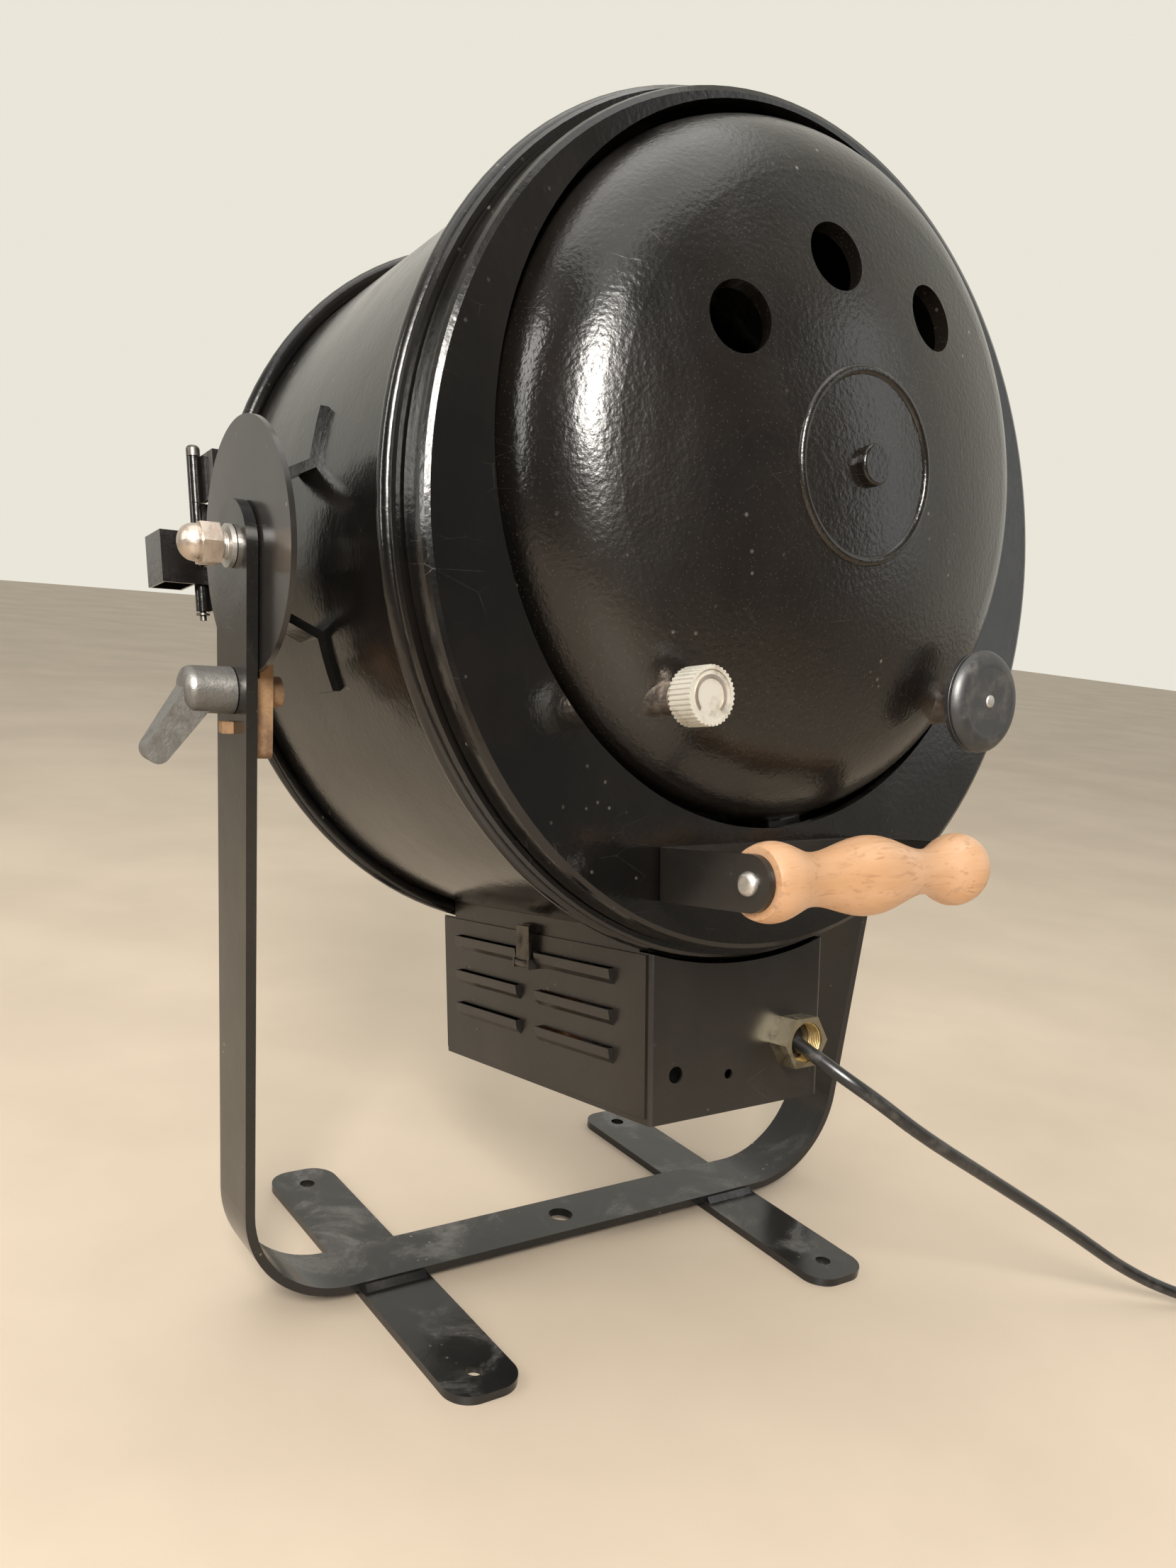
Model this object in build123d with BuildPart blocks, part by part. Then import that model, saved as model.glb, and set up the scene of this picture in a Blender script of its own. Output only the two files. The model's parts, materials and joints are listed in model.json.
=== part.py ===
"""Low-voltage beam projector in a flat-bar yoke, with its transformer box under the drum.

Frame: millimetres, +Z up, light towards -Y, origin on the floor between the four foot screws.
The head is tilted about X through the pivot, so its pieces are drawn in head coordinates:
x across, s along the drum axis towards the rear, v square to both, upwards.
"""
import os
from math import asin, cos, degrees, radians, sin, sqrt, tan

from build123d import *

os.makedirs("parts", exist_ok=True)

# ---- driving dimensions ----
TILT = 10.0  # rear of the drum up
PIVOT_Z = 454.0
BAR_W = 45.0
BAR_T = 6.0
ARM_X = 250.0  # outer face of a yoke arm
ARM_IN = ARM_X - BAR_T
YOKE_BEND = 72.0
CENTRE_HOLE_R = 9.0
FOOT_X = 147.0
FOOT_W = 50.0
FOOT_HALF = 152.0
FOOT_T = 6.0
FOOT_CORNER = 18.0
FOOT_HOLE_R = 5.5
FOOT_HOLE_Y = 129.0
WELD = 4.0
WELD_HALF = 22.0

DRUM_R = 211.0
SHEET = 1.5
BEAD_R = 5.0
BEAD_MID = 215.0
FRONT_BEAD_S = -114.0
REAR_BEAD_S = 108.0
RING_FACE_S = 135.0
RING_CORNER_R = 207.5
OPENING_R = 174.5
OPENING_V = 31.0  # the rear opening and the dome sit above the drum axis

DOME_R = 171.5
DOME_KNUCKLE = 60.0
DOME_SPHERE = 380.0
DOME_APEX_S = 196.0
DOME_FOOT_S = 105.0
VENT_R = 16.0
VENT_ORBIT = 93.0
VENT_MIDDLE = 80.0  # bearing of the middle vent about the dome's axis, up being 90
VENT_STEP = 43.5
VENT_FLANGE = 7.0
BADGE_R = 43.0
BADGE_TUBE = 2.5
BOSS_R = 9.5

FOCUS_X, FOCUS_V = -99.8, -76.0
TRIM_X, TRIM_V = 99.8, -79.0
SCREW_R = 4.0
TRIM_SHAFT_R = 3.0
FOCUS_HOLE_R = 10.5
TRIM_HOLE_R = 8.0
FIT = 0.1

HANDLE_S, HANDLE_V = 206.0, -165.0
HANDLE_HALF = 80.5
BRACKET_T = 4.0
BRACKET_R = 14.0
HANDLE_BOLT_R = 4.0
GRIP_HALF = 76.2

STRAP_TOP = 239.5
STRAP_HALF = 12.0
DISC_R = 61.7
DISC_T = 3.0
PIVOT_R = 6.0
NUT_AF = 19.0

STUD_Z = 383.0
PIN_Z = 364.0
STUD_R = 5.0
PIN_W = 6.0

HINGE_X, HINGE_S = 225.3, -126.0
HINGE_R = 4.0
HINGE_PIN_R = 2.0

BOX_X = 66.0
BOX_FRONT, BOX_REAR = -126.0, 114.0
BOX_BOTTOM = -310.0
GLAND_X, GLAND_V = -41.5, -272.0
PANEL_T = 1.2
LOUVRE_ROWS = (-228.0, -252.0, -275.0)
LOUVRE_COLUMNS = (-61.5, 40.5)

FOCAL = 100.0
MIRROR_VERTEX = 92.0
MIRROR_HOLE = 28.0
MIRROR_RIM = 188.0
BRIDGE_S = 97.0
CARRIAGE_S = 125.0

CABLE_R = 4.25

COS, SIN = cos(radians(TILT)), sin(radians(TILT))
AXIS_DIR = (0, COS, SIN)
UP_DIR = (0, -SIN, COS)
REACH = 400.0  # longer than the object is wide, for cuts that go right through


def head(x, s, v):
    """The place in the object's frame of a point in head coordinates."""
    return (x, s * COS - v * SIN, PIVOT_Z + s * SIN + v * COS)


PROFILE = Plane(origin=head(0, 0, 0), x_dir=AXIS_DIR, z_dir=(1, 0, 0))
DRUM_AXIS = Axis(head(0, 0, 0), AXIS_DIR)
DOME_AXIS = Axis(head(0, 0, OPENING_V), AXIS_DIR)


def across(s):
    """Sketch plane square to the drum axis, coordinates (x, v), extruding to the front."""
    return Plane(origin=head(0, s, 0), x_dir=(1, 0, 0), z_dir=(0, -COS, -SIN))


def level(v):
    """Sketch plane parallel to the drum axis, coordinates (x, s), extruding upwards."""
    return Plane(origin=head(0, 0, v), x_dir=(1, 0, 0), z_dir=UP_DIR)


def side(x):
    """Sketch plane square to X, coordinates (s, v), extruding to +X."""
    return Plane(origin=(x, 0, PIVOT_Z), x_dir=AXIS_DIR, z_dir=(1, 0, 0))


def outward(way, x):
    """Sketch plane at the +X or -X pivot, extruding away from the drum."""
    return Plane(origin=(way * x, 0, PIVOT_Z), x_dir=AXIS_DIR, z_dir=(way, 0, 0))


def stand_x(x, z):
    """Sketch plane square to X on the yoke arm at height z, coordinates (y, up)."""
    return Plane(origin=(x, 0, z), x_dir=(0, 1, 0), z_dir=(1, 0, 0))


def meridian(turn, v=0.0):
    """Sketch plane through the axis at height v, coordinates (s, r), turned from +x towards +v."""
    out = Vector(cos(radians(turn)), -SIN * sin(radians(turn)), COS * sin(radians(turn)))
    return Plane(origin=head(0, 0, v), x_dir=AXIS_DIR, z_dir=Vector(*AXIS_DIR).cross(out))


def box_sketch(u0, u1, w0, w1, mode=Mode.ADD):
    """A rectangle given by its limits, in the open sketch."""
    with Locations(((u0 + u1) / 2, (w0 + w1) / 2)):
        Rectangle(abs(u1 - u0), abs(w1 - w0), mode=mode)


def hexagon(flats):
    """A hexagon given by its width across flats, in the open sketch."""
    RegularPolygon(radius=flats / 2, side_count=6, major_radius=False)


def outline(points, mode=Mode.ADD):
    """A closed straight-sided face, in the open sketch."""
    Polygon(*points, align=None, mode=mode)


# ================= stand =================
with BuildPart() as yoke:
    with BuildSketch(Plane.XZ):
        with Locations((0, FOOT_T + PIVOT_Z)):
            RectangleRounded(2 * ARM_X, 2 * PIVOT_Z, YOKE_BEND)
            RectangleRounded(2 * ARM_IN, 2 * (PIVOT_Z - BAR_T), YOKE_BEND - BAR_T, mode=Mode.SUBTRACT)
    extrude(amount=BAR_W / 2, both=True)
    with BuildSketch(Plane.YZ):
        box_sketch(-BAR_W / 2, BAR_W / 2, 0, PIVOT_Z)
        with Locations((0, PIVOT_Z)):
            Circle(BAR_W / 2)
    extrude(amount=REACH, both=True, mode=Mode.INTERSECT)
    with BuildSketch(Plane.XY):
        Circle(CENTRE_HOLE_R)
    extrude(amount=PIVOT_Z / 2, mode=Mode.SUBTRACT)
    with BuildSketch(Plane.YZ):
        with Locations((0, PIVOT_Z)):
            Circle(PIVOT_R + FIT)
    extrude(amount=REACH, both=True, mode=Mode.SUBTRACT)
    with BuildSketch(stand_x(0, 0)):
        with Locations((0, STUD_Z)):
            Circle(STUD_R + 3 * FIT)
        with Locations((0, PIN_Z)):
            Rectangle(PIN_W + 6 * FIT, PIN_W + 6 * FIT)
    extrude(amount=REACH, mode=Mode.SUBTRACT)
yoke.part.label = "yoke"
export_step(yoke.part, "parts/yoke.step")

for name, way in (("foot_left", 1), ("foot_right", -1)):
    with BuildPart() as foot:
        with BuildSketch():
            with Locations((way * FOOT_X, 0)):
                RectangleRounded(FOOT_W, 2 * FOOT_HALF, FOOT_CORNER)
            with Locations((way * FOOT_X, FOOT_HOLE_Y), (way * FOOT_X, -FOOT_HOLE_Y)):
                Circle(FOOT_HOLE_R, mode=Mode.SUBTRACT)
        extrude(amount=FOOT_T)
    foot.part.label = name
    export_step(foot.part, f"parts/{name}.step")

with BuildPart() as foot_welds:
    for way in (1, -1):
        with BuildSketch(Plane.YZ.offset(way * FOOT_X)):
            for edge in (1, -1):
                outline([
                    (edge * BAR_W / 2, FOOT_T),
                    (edge * (BAR_W / 2 + WELD), FOOT_T),
                    (edge * BAR_W / 2, FOOT_T + WELD),
                ])
        extrude(amount=WELD_HALF, both=True)
foot_welds.part.label = "foot_welds"
export_step(foot_welds.part, "parts/foot_welds.step")

# ================= tilt clamp =================
JAW_BACK = 232.0
JAW_LEDGE = 391.0
JAW_TOP = 398.0
JAW_BOTTOM = 349.0
CLAW_X = 239.3
STUD_IN, STUD_OUT = 224.0, 264.0
HUB_R = 12.0
HUB_IN, HUB_OUT = 250.4, 277.0
LEVER_TIP_X, LEVER_TIP_Z = 290.5, 352.0

with BuildPart() as clamp_jaw:
    with BuildSketch(Plane.XZ):
        outline([
            (JAW_BACK, JAW_BOTTOM), (ARM_IN - 0.2, JAW_BOTTOM), (ARM_IN - 0.2, JAW_LEDGE),
            (CLAW_X, JAW_LEDGE), (CLAW_X, JAW_TOP), (JAW_BACK, JAW_TOP),
        ])
    extrude(amount=HUB_R + 1, both=True)
    fillet(clamp_jaw.edges().filter_by(Axis.X).group_by(Axis.Z)[0], radius=4)
    with BuildSketch(stand_x(JAW_BACK, STUD_Z)):
        Circle(STUD_R + 3)
    extrude(amount=STUD_IN - JAW_BACK)
    with BuildSketch(stand_x(0, 0)):
        with Locations((0, STUD_Z)):
            Circle(STUD_R)
        with Locations((0, PIN_Z)):
            Rectangle(PIN_W, PIN_W)
    extrude(amount=REACH, mode=Mode.SUBTRACT)
clamp_jaw.part.label = "clamp_jaw"
export_step(clamp_jaw.part, "parts/clamp_jaw.step")

with BuildPart() as clamp_stud:
    with BuildSketch(stand_x(STUD_IN, STUD_Z)):
        Circle(STUD_R)
    extrude(amount=STUD_OUT - STUD_IN)
    chamfer(clamp_stud.edges().group_by(Axis.X)[-1], length=1)
clamp_stud.part.label = "clamp_stud"
export_step(clamp_stud.part, "parts/clamp_stud.step")

with BuildPart() as clamp_pin:
    with BuildSketch(stand_x(JAW_BACK, PIN_Z)):
        Rectangle(PIN_W, PIN_W)
    extrude(amount=ARM_X + PIN_W - JAW_BACK)
clamp_pin.part.label = "clamp_pin"
export_step(clamp_pin.part, "parts/clamp_pin.step")

with BuildPart() as clamp_lever:
    with BuildSketch(stand_x(HUB_IN, STUD_Z)):
        Circle(HUB_R)
    extrude(amount=HUB_OUT - HUB_IN)
    fillet(clamp_lever.edges().group_by(Axis.X)[-1], radius=6)
    with BuildSketch(Plane.XZ):
        with BuildLine():
            CenterArc((HUB_OUT - 10, STUD_Z), 9, 0, 360)
            CenterArc((LEVER_TIP_X, LEVER_TIP_Z), 6.5, 0, 360)
        make_hull()
    extrude(amount=6.5, both=True)
    with BuildSketch(stand_x(HUB_IN - 1, STUD_Z)):
        Circle(STUD_R + FIT)
    extrude(amount=STUD_OUT + 2 - HUB_IN, mode=Mode.SUBTRACT)
clamp_lever.part.label = "clamp_lever"
export_step(clamp_lever.part, "parts/clamp_lever.step")

# ================= drum =================
LEAD_HOLE_S = 93.5
LEAD_R = 3.0
with BuildPart() as drum_shell:
    with BuildSketch(PROFILE):
        box_sketch(FRONT_BEAD_S, REAR_BEAD_S, DRUM_R - SHEET, DRUM_R)
        with Locations((FRONT_BEAD_S, BEAD_MID), (REAR_BEAD_S, BEAD_MID)):
            Circle(BEAD_R)
    revolve(axis=DRUM_AXIS)
    with BuildSketch(level(0)):
        with Locations((0, LEAD_HOLE_S)):
            Circle(LEAD_R + 2)
    extrude(amount=-REACH, mode=Mode.SUBTRACT)
drum_shell.part.label = "drum_shell"
export_step(drum_shell.part, "parts/drum_shell.step")

BRACKET_RIVETS = ((-58.0, HANDLE_V), (-20.0, HANDLE_V), (20.0, HANDLE_V), (58.0, HANDLE_V))
RIVET_R = 2.4
SPIGOT_R = DRUM_R - SHEET - 0.2
OPENING_LIP_S = 129.0
with BuildPart() as rear_ring:
    with BuildSketch(PROFILE):
        outline([
            (104, SPIGOT_R), (113, SPIGOT_R), (113, 217), (116, 217), (117.5, 215.5), (117.5, 210.5),
            (119.5, 210.5), (119.5, 212.5), (122, 212.5), (122, DRUM_R), (131.5, DRUM_R),
            (133.8, 210), (RING_FACE_S, RING_CORNER_R), (RING_FACE_S, 90), (RING_FACE_S - SHEET, 90),
            (RING_FACE_S - SHEET, 206.3), (131.9, 207.8), (104, 207.8),
        ])
    revolve(axis=DRUM_AXIS)
    with BuildSketch(across(RING_FACE_S)):
        with Locations((0, OPENING_V)):
            Circle(OPENING_R + 1)
    extrude(amount=RING_FACE_S - OPENING_LIP_S)
    with BuildSketch(across(RING_FACE_S + 1)):
        with Locations((0, OPENING_V)):
            Circle(OPENING_R)
        with Locations(*BRACKET_RIVETS):
            Circle(RIVET_R)
    extrude(amount=REACH / 4, mode=Mode.SUBTRACT)
rear_ring.part.label = "rear_ring"
export_step(rear_ring.part, "parts/rear_ring.step")


def dome_points(inset):
    """Meridian of the dome, coordinates (s, r), moved inwards by inset."""
    knuckle_r = DOME_R - DOME_KNUCKLE
    sphere_s = DOME_APEX_S - DOME_SPHERE
    reach = sqrt((DOME_SPHERE - DOME_KNUCKLE) ** 2 - knuckle_r**2)
    turn = asin(knuckle_r / (DOME_SPHERE - DOME_KNUCKLE))
    small, large = DOME_KNUCKLE - inset, DOME_SPHERE - inset
    middle = (turn + radians(90)) / 2
    knuckle_s = sphere_s + reach
    return {
        "foot": (DOME_FOOT_S, DOME_R - inset),
        "skirt": (knuckle_s, DOME_R - inset),
        "knuckle": (knuckle_s + small * cos(middle), knuckle_r + small * sin(middle)),
        "join": (sphere_s + large * cos(turn), large * sin(turn)),
        "crown": (sphere_s + large * cos(turn / 2), large * sin(turn / 2)),
        "apex": (sphere_s + large, 0),
    }


def raise_to_dome(point):
    """Moves a meridian point from the dome's axis to the drum's."""
    return (point[0], point[1] + OPENING_V)


with BuildPart() as dome:
    outer = {key: raise_to_dome(point) for key, point in dome_points(0).items()}
    inner = {key: raise_to_dome(point) for key, point in dome_points(SHEET).items()}
    with BuildSketch(PROFILE):
        with BuildLine():
            Line(outer["foot"], outer["skirt"])
            ThreePointArc(outer["skirt"], outer["knuckle"], outer["join"])
            ThreePointArc(outer["join"], outer["crown"], outer["apex"])
            Line(outer["apex"], inner["apex"])
            ThreePointArc(inner["apex"], inner["crown"], inner["join"])
            ThreePointArc(inner["join"], inner["knuckle"], inner["skirt"])
            Line(inner["skirt"], inner["foot"])
            Line(inner["foot"], outer["foot"])
        make_face()
    revolve(axis=DOME_AXIS)
    badge_s = DOME_APEX_S - DOME_SPHERE + sqrt(DOME_SPHERE**2 - BADGE_R**2)
    with BuildSketch(PROFILE):
        with Locations((badge_s - SHEET / 2, OPENING_V + BADGE_R)):
            Circle(BADGE_TUBE)
    revolve(axis=DOME_AXIS)
    with BuildSketch(across(DOME_APEX_S + BADGE_TUBE * 2)):
        with Locations((0, OPENING_V)):
            Circle(BOSS_R)
    extrude(amount=BADGE_TUBE * 2 + SHEET / 2)
    fillet(dome.edges().group_by(Axis(head(0, 0, 0), AXIS_DIR))[-1], radius=1.5)
    lean = degrees(asin(VENT_ORBIT / DOME_SPHERE))
    vent_s = DOME_APEX_S - DOME_SPHERE + DOME_SPHERE * cos(radians(lean))
    for step in (-1, 0, 1):
        turn = radians(VENT_MIDDLE + step * VENT_STEP)
        out_x, out_v = cos(turn), sin(turn)
        tip = sin(radians(lean))
        vent_plane = Plane(
            origin=head(VENT_ORBIT * out_x, vent_s, OPENING_V + VENT_ORBIT * out_v),
            x_dir=Vector(*AXIS_DIR).cross(Vector(out_x, -SIN * out_v, COS * out_v)),
            z_dir=Vector(*AXIS_DIR) * cos(radians(lean)) + Vector(out_x, -SIN * out_v, COS * out_v) * tip,
        )
        with BuildSketch(vent_plane.offset(-1)):
            Circle(VENT_R + SHEET)
        extrude(amount=-VENT_FLANGE)
        with BuildSketch(vent_plane.offset(VENT_FLANGE)):
            Circle(VENT_R)
        extrude(amount=-3 * VENT_FLANGE, mode=Mode.SUBTRACT)
    with BuildSketch(across(REACH)):
        with Locations((FOCUS_X, FOCUS_V)):
            Circle(FOCUS_HOLE_R)
        with Locations((TRIM_X, TRIM_V)):
            Circle(TRIM_HOLE_R)
    extrude(amount=REACH - DOME_FOOT_S, mode=Mode.SUBTRACT)
dome.part.label = "dome"
export_step(dome.part, "parts/dome.step")

DOME_BRACKET_TURNS = (200, 262, 340)
DOME_TAB = 11.0
DOME_TAB_ARC = 8.0
TAB_T = 1.6
RISER_R = 186.0
with BuildPart() as dome_brackets:
    low, high = DOME_FOOT_S + 1, RING_FACE_S - SHEET
    for turn in DOME_BRACKET_TURNS:
        with BuildSketch(meridian(turn, OPENING_V)):
            outline([
                (low, DOME_R), (low + DOME_TAB, DOME_R), (low + DOME_TAB, DOME_R + TAB_T),
                (low + TAB_T, DOME_R + TAB_T), (low + TAB_T, RISER_R), (high, RISER_R),
                (high, RISER_R + DOME_TAB), (high - TAB_T, RISER_R + DOME_TAB),
                (high - TAB_T, RISER_R + TAB_T), (low, RISER_R + TAB_T),
            ])
        revolve(axis=DOME_AXIS, revolution_arc=DOME_TAB_ARC)
dome_brackets.part.label = "dome_brackets"
export_step(dome_brackets.part, "parts/dome_brackets.step")

# ================= handle =================
with BuildPart() as handle_bracket:
    with BuildSketch(level(HANDLE_V)):
        box_sketch(-HANDLE_HALF, HANDLE_HALF, RING_FACE_S, HANDLE_S + BRACKET_R)
        inside = HANDLE_HALF - BRACKET_T
        box_sketch(-inside, inside, RING_FACE_S + BRACKET_T, HANDLE_S + BRACKET_R, Mode.SUBTRACT)
    extrude(amount=BRACKET_R, both=True)
    bends = handle_bracket.edges().filter_by(Axis((0, 0, 0), UP_DIR))
    fillet(bends.group_by(Axis((0, 0, 0), AXIS_DIR))[0], radius=5)
    with BuildSketch(side(-REACH)):
        box_sketch(RING_FACE_S, HANDLE_S, HANDLE_V - BRACKET_R, HANDLE_V + BRACKET_R)
        with Locations((HANDLE_S, HANDLE_V)):
            Circle(BRACKET_R)
            Circle(HANDLE_BOLT_R, mode=Mode.SUBTRACT)
    extrude(amount=2 * REACH, mode=Mode.INTERSECT)
    with BuildSketch(across(RING_FACE_S + BRACKET_T)):
        with Locations(*BRACKET_RIVETS):
            Circle(RIVET_R)
    extrude(amount=BRACKET_T, mode=Mode.SUBTRACT)
handle_bracket.part.label = "handle_bracket"
export_step(handle_bracket.part, "parts/handle_bracket.step")

with BuildPart() as bracket_rivets:
    for rivet_x, rivet_v in BRACKET_RIVETS:
        with BuildSketch(across(RING_FACE_S + BRACKET_T)):
            with Locations((rivet_x, rivet_v)):
                Circle(RIVET_R)
        extrude(amount=BRACKET_T + SHEET)
        with BuildSketch(across(RING_FACE_S + BRACKET_T + 2)):
            with Locations((rivet_x, rivet_v)):
                Circle(RIVET_R * 1.7)
        extrude(amount=2)
        with BuildSketch(across(RING_FACE_S - SHEET)):
            with Locations((rivet_x, rivet_v)):
                Circle(RIVET_R * 1.5)
        extrude(amount=1.5)
bracket_rivets.part.label = "bracket_rivets"
export_step(bracket_rivets.part, "parts/bracket_rivets.step")

with BuildPart() as handle_bolt:
    with BuildSketch(side(-HANDLE_HALF)):
        with Locations((HANDLE_S, HANDLE_V)):
            Circle(HANDLE_BOLT_R)
    extrude(amount=2 * HANDLE_HALF)
    for way in (1, -1):
        with BuildSketch(side(way * HANDLE_HALF)):
            with Locations((HANDLE_S, HANDLE_V)):
                Circle(HANDLE_BOLT_R + 2.1)
        extrude(amount=way * 3.5)
    rims = handle_bolt.edges().filter_by(GeomType.CIRCLE).sort_by(Axis.X)
    fillet([rims[0], rims[-1]], radius=2.8)
handle_bolt.part.label = "handle_bolt"
export_step(handle_bolt.part, "parts/handle_bolt.step")

GRIP_PROFILE = (
    (-GRIP_HALF, 17.2), (-66, 19.4), (-50, 13.2), (0, 20.5), (45, 14.0), (66, 19.8), (GRIP_HALF, 17.6),
)
with BuildPart() as handle_grip:
    with BuildSketch(Plane(origin=head(0, HANDLE_S, HANDLE_V), x_dir=(1, 0, 0), z_dir=UP_DIR)):
        with BuildLine():
            turned = Spline(*GRIP_PROFILE)
            Polyline(turned @ 1, (GRIP_HALF, HANDLE_BOLT_R + FIT), (-GRIP_HALF, HANDLE_BOLT_R + FIT),
                     turned @ 0)
        make_face()
    revolve(axis=Axis(head(0, HANDLE_S, HANDLE_V), (1, 0, 0)))
handle_grip.part.label = "handle_grip"
export_step(handle_grip.part, "parts/handle_grip.step")

# ================= pivots =================
STRAP_T = 4.0
WASHER_R = 14.0
NUT_IN, NUT_OUT = 257.0, 277.0
with BuildPart() as strap_brackets:
    with BuildSketch(across(STRAP_HALF)):
        for way in (1, -1):
            outline([(way * STRAP_TOP, -30), (way * STRAP_TOP, 30), (way * 204, 47), (way * 204, -47)])
        Circle(DRUM_R + STRAP_T)
        box_sketch(-REACH, REACH, 70, REACH, Mode.SUBTRACT)
        box_sketch(-REACH, REACH, -REACH, -70, Mode.SUBTRACT)
        for way in (1, -1):
            outline([
                (way * (STRAP_TOP - STRAP_T), -27), (way * (STRAP_TOP - STRAP_T), 27),
                (way * 200, 43.5), (way * 200, -43.5),
            ], Mode.SUBTRACT)
        Circle(DRUM_R, mode=Mode.SUBTRACT)
    extrude(amount=2 * STRAP_HALF)
    with BuildSketch(side(-REACH)):
        Circle(PIVOT_R)
    extrude(amount=2 * REACH, mode=Mode.SUBTRACT)
strap_brackets.part.label = "strap_brackets"
export_step(strap_brackets.part, "parts/strap_brackets.step")

with BuildPart() as friction_disc:
    with BuildSketch(side(STRAP_TOP)):
        Circle(DISC_R)
        Circle(PIVOT_R, mode=Mode.SUBTRACT)
    extrude(amount=DISC_T)
friction_disc.part.label = "friction_disc"
export_step(friction_disc.part, "parts/friction_disc.step")

with BuildPart() as pivot_spacer:
    with BuildSketch(outward(-1, STRAP_TOP)):
        Circle(WASHER_R)
        Circle(PIVOT_R, mode=Mode.SUBTRACT)
    extrude(amount=DISC_T)
pivot_spacer.part.label = "pivot_spacer"
export_step(pivot_spacer.part, "parts/pivot_spacer.step")

with BuildPart() as pivot_bolts:
    for way in (1, -1):
        with BuildSketch(outward(way, STRAP_TOP - STRAP_T - 7.5)):
            hexagon(NUT_AF)
        extrude(amount=7.5)
        with BuildSketch(outward(way, STRAP_TOP - STRAP_T)):
            Circle(PIVOT_R)
        extrude(amount=NUT_OUT - 7 - STRAP_TOP + STRAP_T)
pivot_bolts.part.label = "pivot_bolts"
export_step(pivot_bolts.part, "parts/pivot_bolts.step")

with BuildPart() as spring_washers:
    for way in (1, -1):
        with BuildSketch(outward(way, ARM_X + 0.3)):
            Circle(PIVOT_R + 4.5)
            Circle(PIVOT_R, mode=Mode.SUBTRACT)
        extrude(amount=2.5)
spring_washers.part.label = "spring_washers"
export_step(spring_washers.part, "parts/spring_washers.step")

with BuildPart() as acorn_nuts:
    for way in (1, -1):
        with BuildSketch(outward(way, NUT_IN)):
            hexagon(NUT_AF)
        extrude(amount=10)
        with BuildSketch(outward(way, NUT_IN + 10)):
            Circle(NUT_AF / 2 - 0.5)
        extrude(amount=NUT_OUT - NUT_IN - 10)
    crowns = acorn_nuts.edges().filter_by(GeomType.CIRCLE).sort_by(Axis.X)
    fillet([crowns[0], crowns[-1]], radius=8)
    for way in (1, -1):
        with BuildSketch(outward(way, NUT_IN)):
            Circle(PIVOT_R)
        extrude(amount=NUT_OUT - 7 - NUT_IN, mode=Mode.SUBTRACT)
acorn_nuts.part.label = "acorn_nuts"
export_step(acorn_nuts.part, "parts/acorn_nuts.step")

# ================= optics inside the drum =================
def mirror_point(r, depth):
    """A point of the paraboloid, coordinates (s, r), moved back by depth."""
    return (MIRROR_VERTEX + depth - r**2 / (4 * FOCAL), r)


def mirror_control(depth):
    """Middle control point of the quadratic curve that is the paraboloid's meridian."""
    return (MIRROR_VERTEX + depth - MIRROR_HOLE * MIRROR_RIM / (4 * FOCAL), (MIRROR_HOLE + MIRROR_RIM) / 2)


MIRROR_T = 2.0
with BuildPart() as mirror_dish:
    with BuildSketch(PROFILE):
        with BuildLine():
            Bezier(mirror_point(MIRROR_HOLE, 0), mirror_control(0), mirror_point(MIRROR_RIM, 0))
            Line(mirror_point(MIRROR_RIM, 0), mirror_point(MIRROR_RIM, MIRROR_T))
            Bezier(mirror_point(MIRROR_RIM, MIRROR_T), mirror_control(MIRROR_T),
                   mirror_point(MIRROR_HOLE, MIRROR_T))
            Line(mirror_point(MIRROR_HOLE, MIRROR_T), mirror_point(MIRROR_HOLE, 0))
        make_face()
    revolve(axis=DRUM_AXIS)
mirror_dish.part.label = "mirror_dish"
export_step(mirror_dish.part, "parts/mirror_dish.step")

HOOP_BACK = 10.0
DRUM_IN = DRUM_R - SHEET
with BuildPart() as mirror_hoop:
    with BuildSketch(PROFILE):
        outline([
            (2, DRUM_IN), (HOOP_BACK, DRUM_IN), (HOOP_BACK, DRUM_IN - SHEET), (3.5, DRUM_IN - SHEET),
            (3.5, 185), (2, 185),
        ])
    revolve(axis=DRUM_AXIS)
mirror_hoop.part.label = "mirror_hoop"
export_step(mirror_hoop.part, "parts/mirror_hoop.step")

with BuildPart() as mirror_clips:
    for turn in (30, 150, 270):
        with BuildSketch(meridian(turn)):
            box_sketch(HOOP_BACK, HOOP_BACK + SHEET, 185, DRUM_IN)
        revolve(axis=DRUM_AXIS, revolution_arc=8)
mirror_clips.part.label = "mirror_clips"
export_step(mirror_clips.part, "parts/mirror_clips.step")

BRIDGE_T = 3.0
RODS = ((45.0, -45.0), (-45.0, 25.0))
ROD_R = 4.0
with BuildPart() as bridge:
    with BuildSketch(across(BRIDGE_S + BRIDGE_T)):
        Circle(DRUM_IN)
        box_sketch(-REACH, REACH, 35, REACH, Mode.SUBTRACT)
        box_sketch(-REACH, REACH, -REACH, -95, Mode.SUBTRACT)
        box_sketch(120, REACH, -95, -20, Mode.SUBTRACT)
        box_sketch(-REACH, -120, -95, -20, Mode.SUBTRACT)
        Circle(30, mode=Mode.SUBTRACT)
        with Locations(*RODS):
            Circle(ROD_R, mode=Mode.SUBTRACT)
        with Locations((FOCUS_X, FOCUS_V)):
            Circle(SCREW_R + FIT, mode=Mode.SUBTRACT)
    extrude(amount=BRIDGE_T)
bridge.part.label = "bridge"
export_step(bridge.part, "parts/bridge.step")

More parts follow.
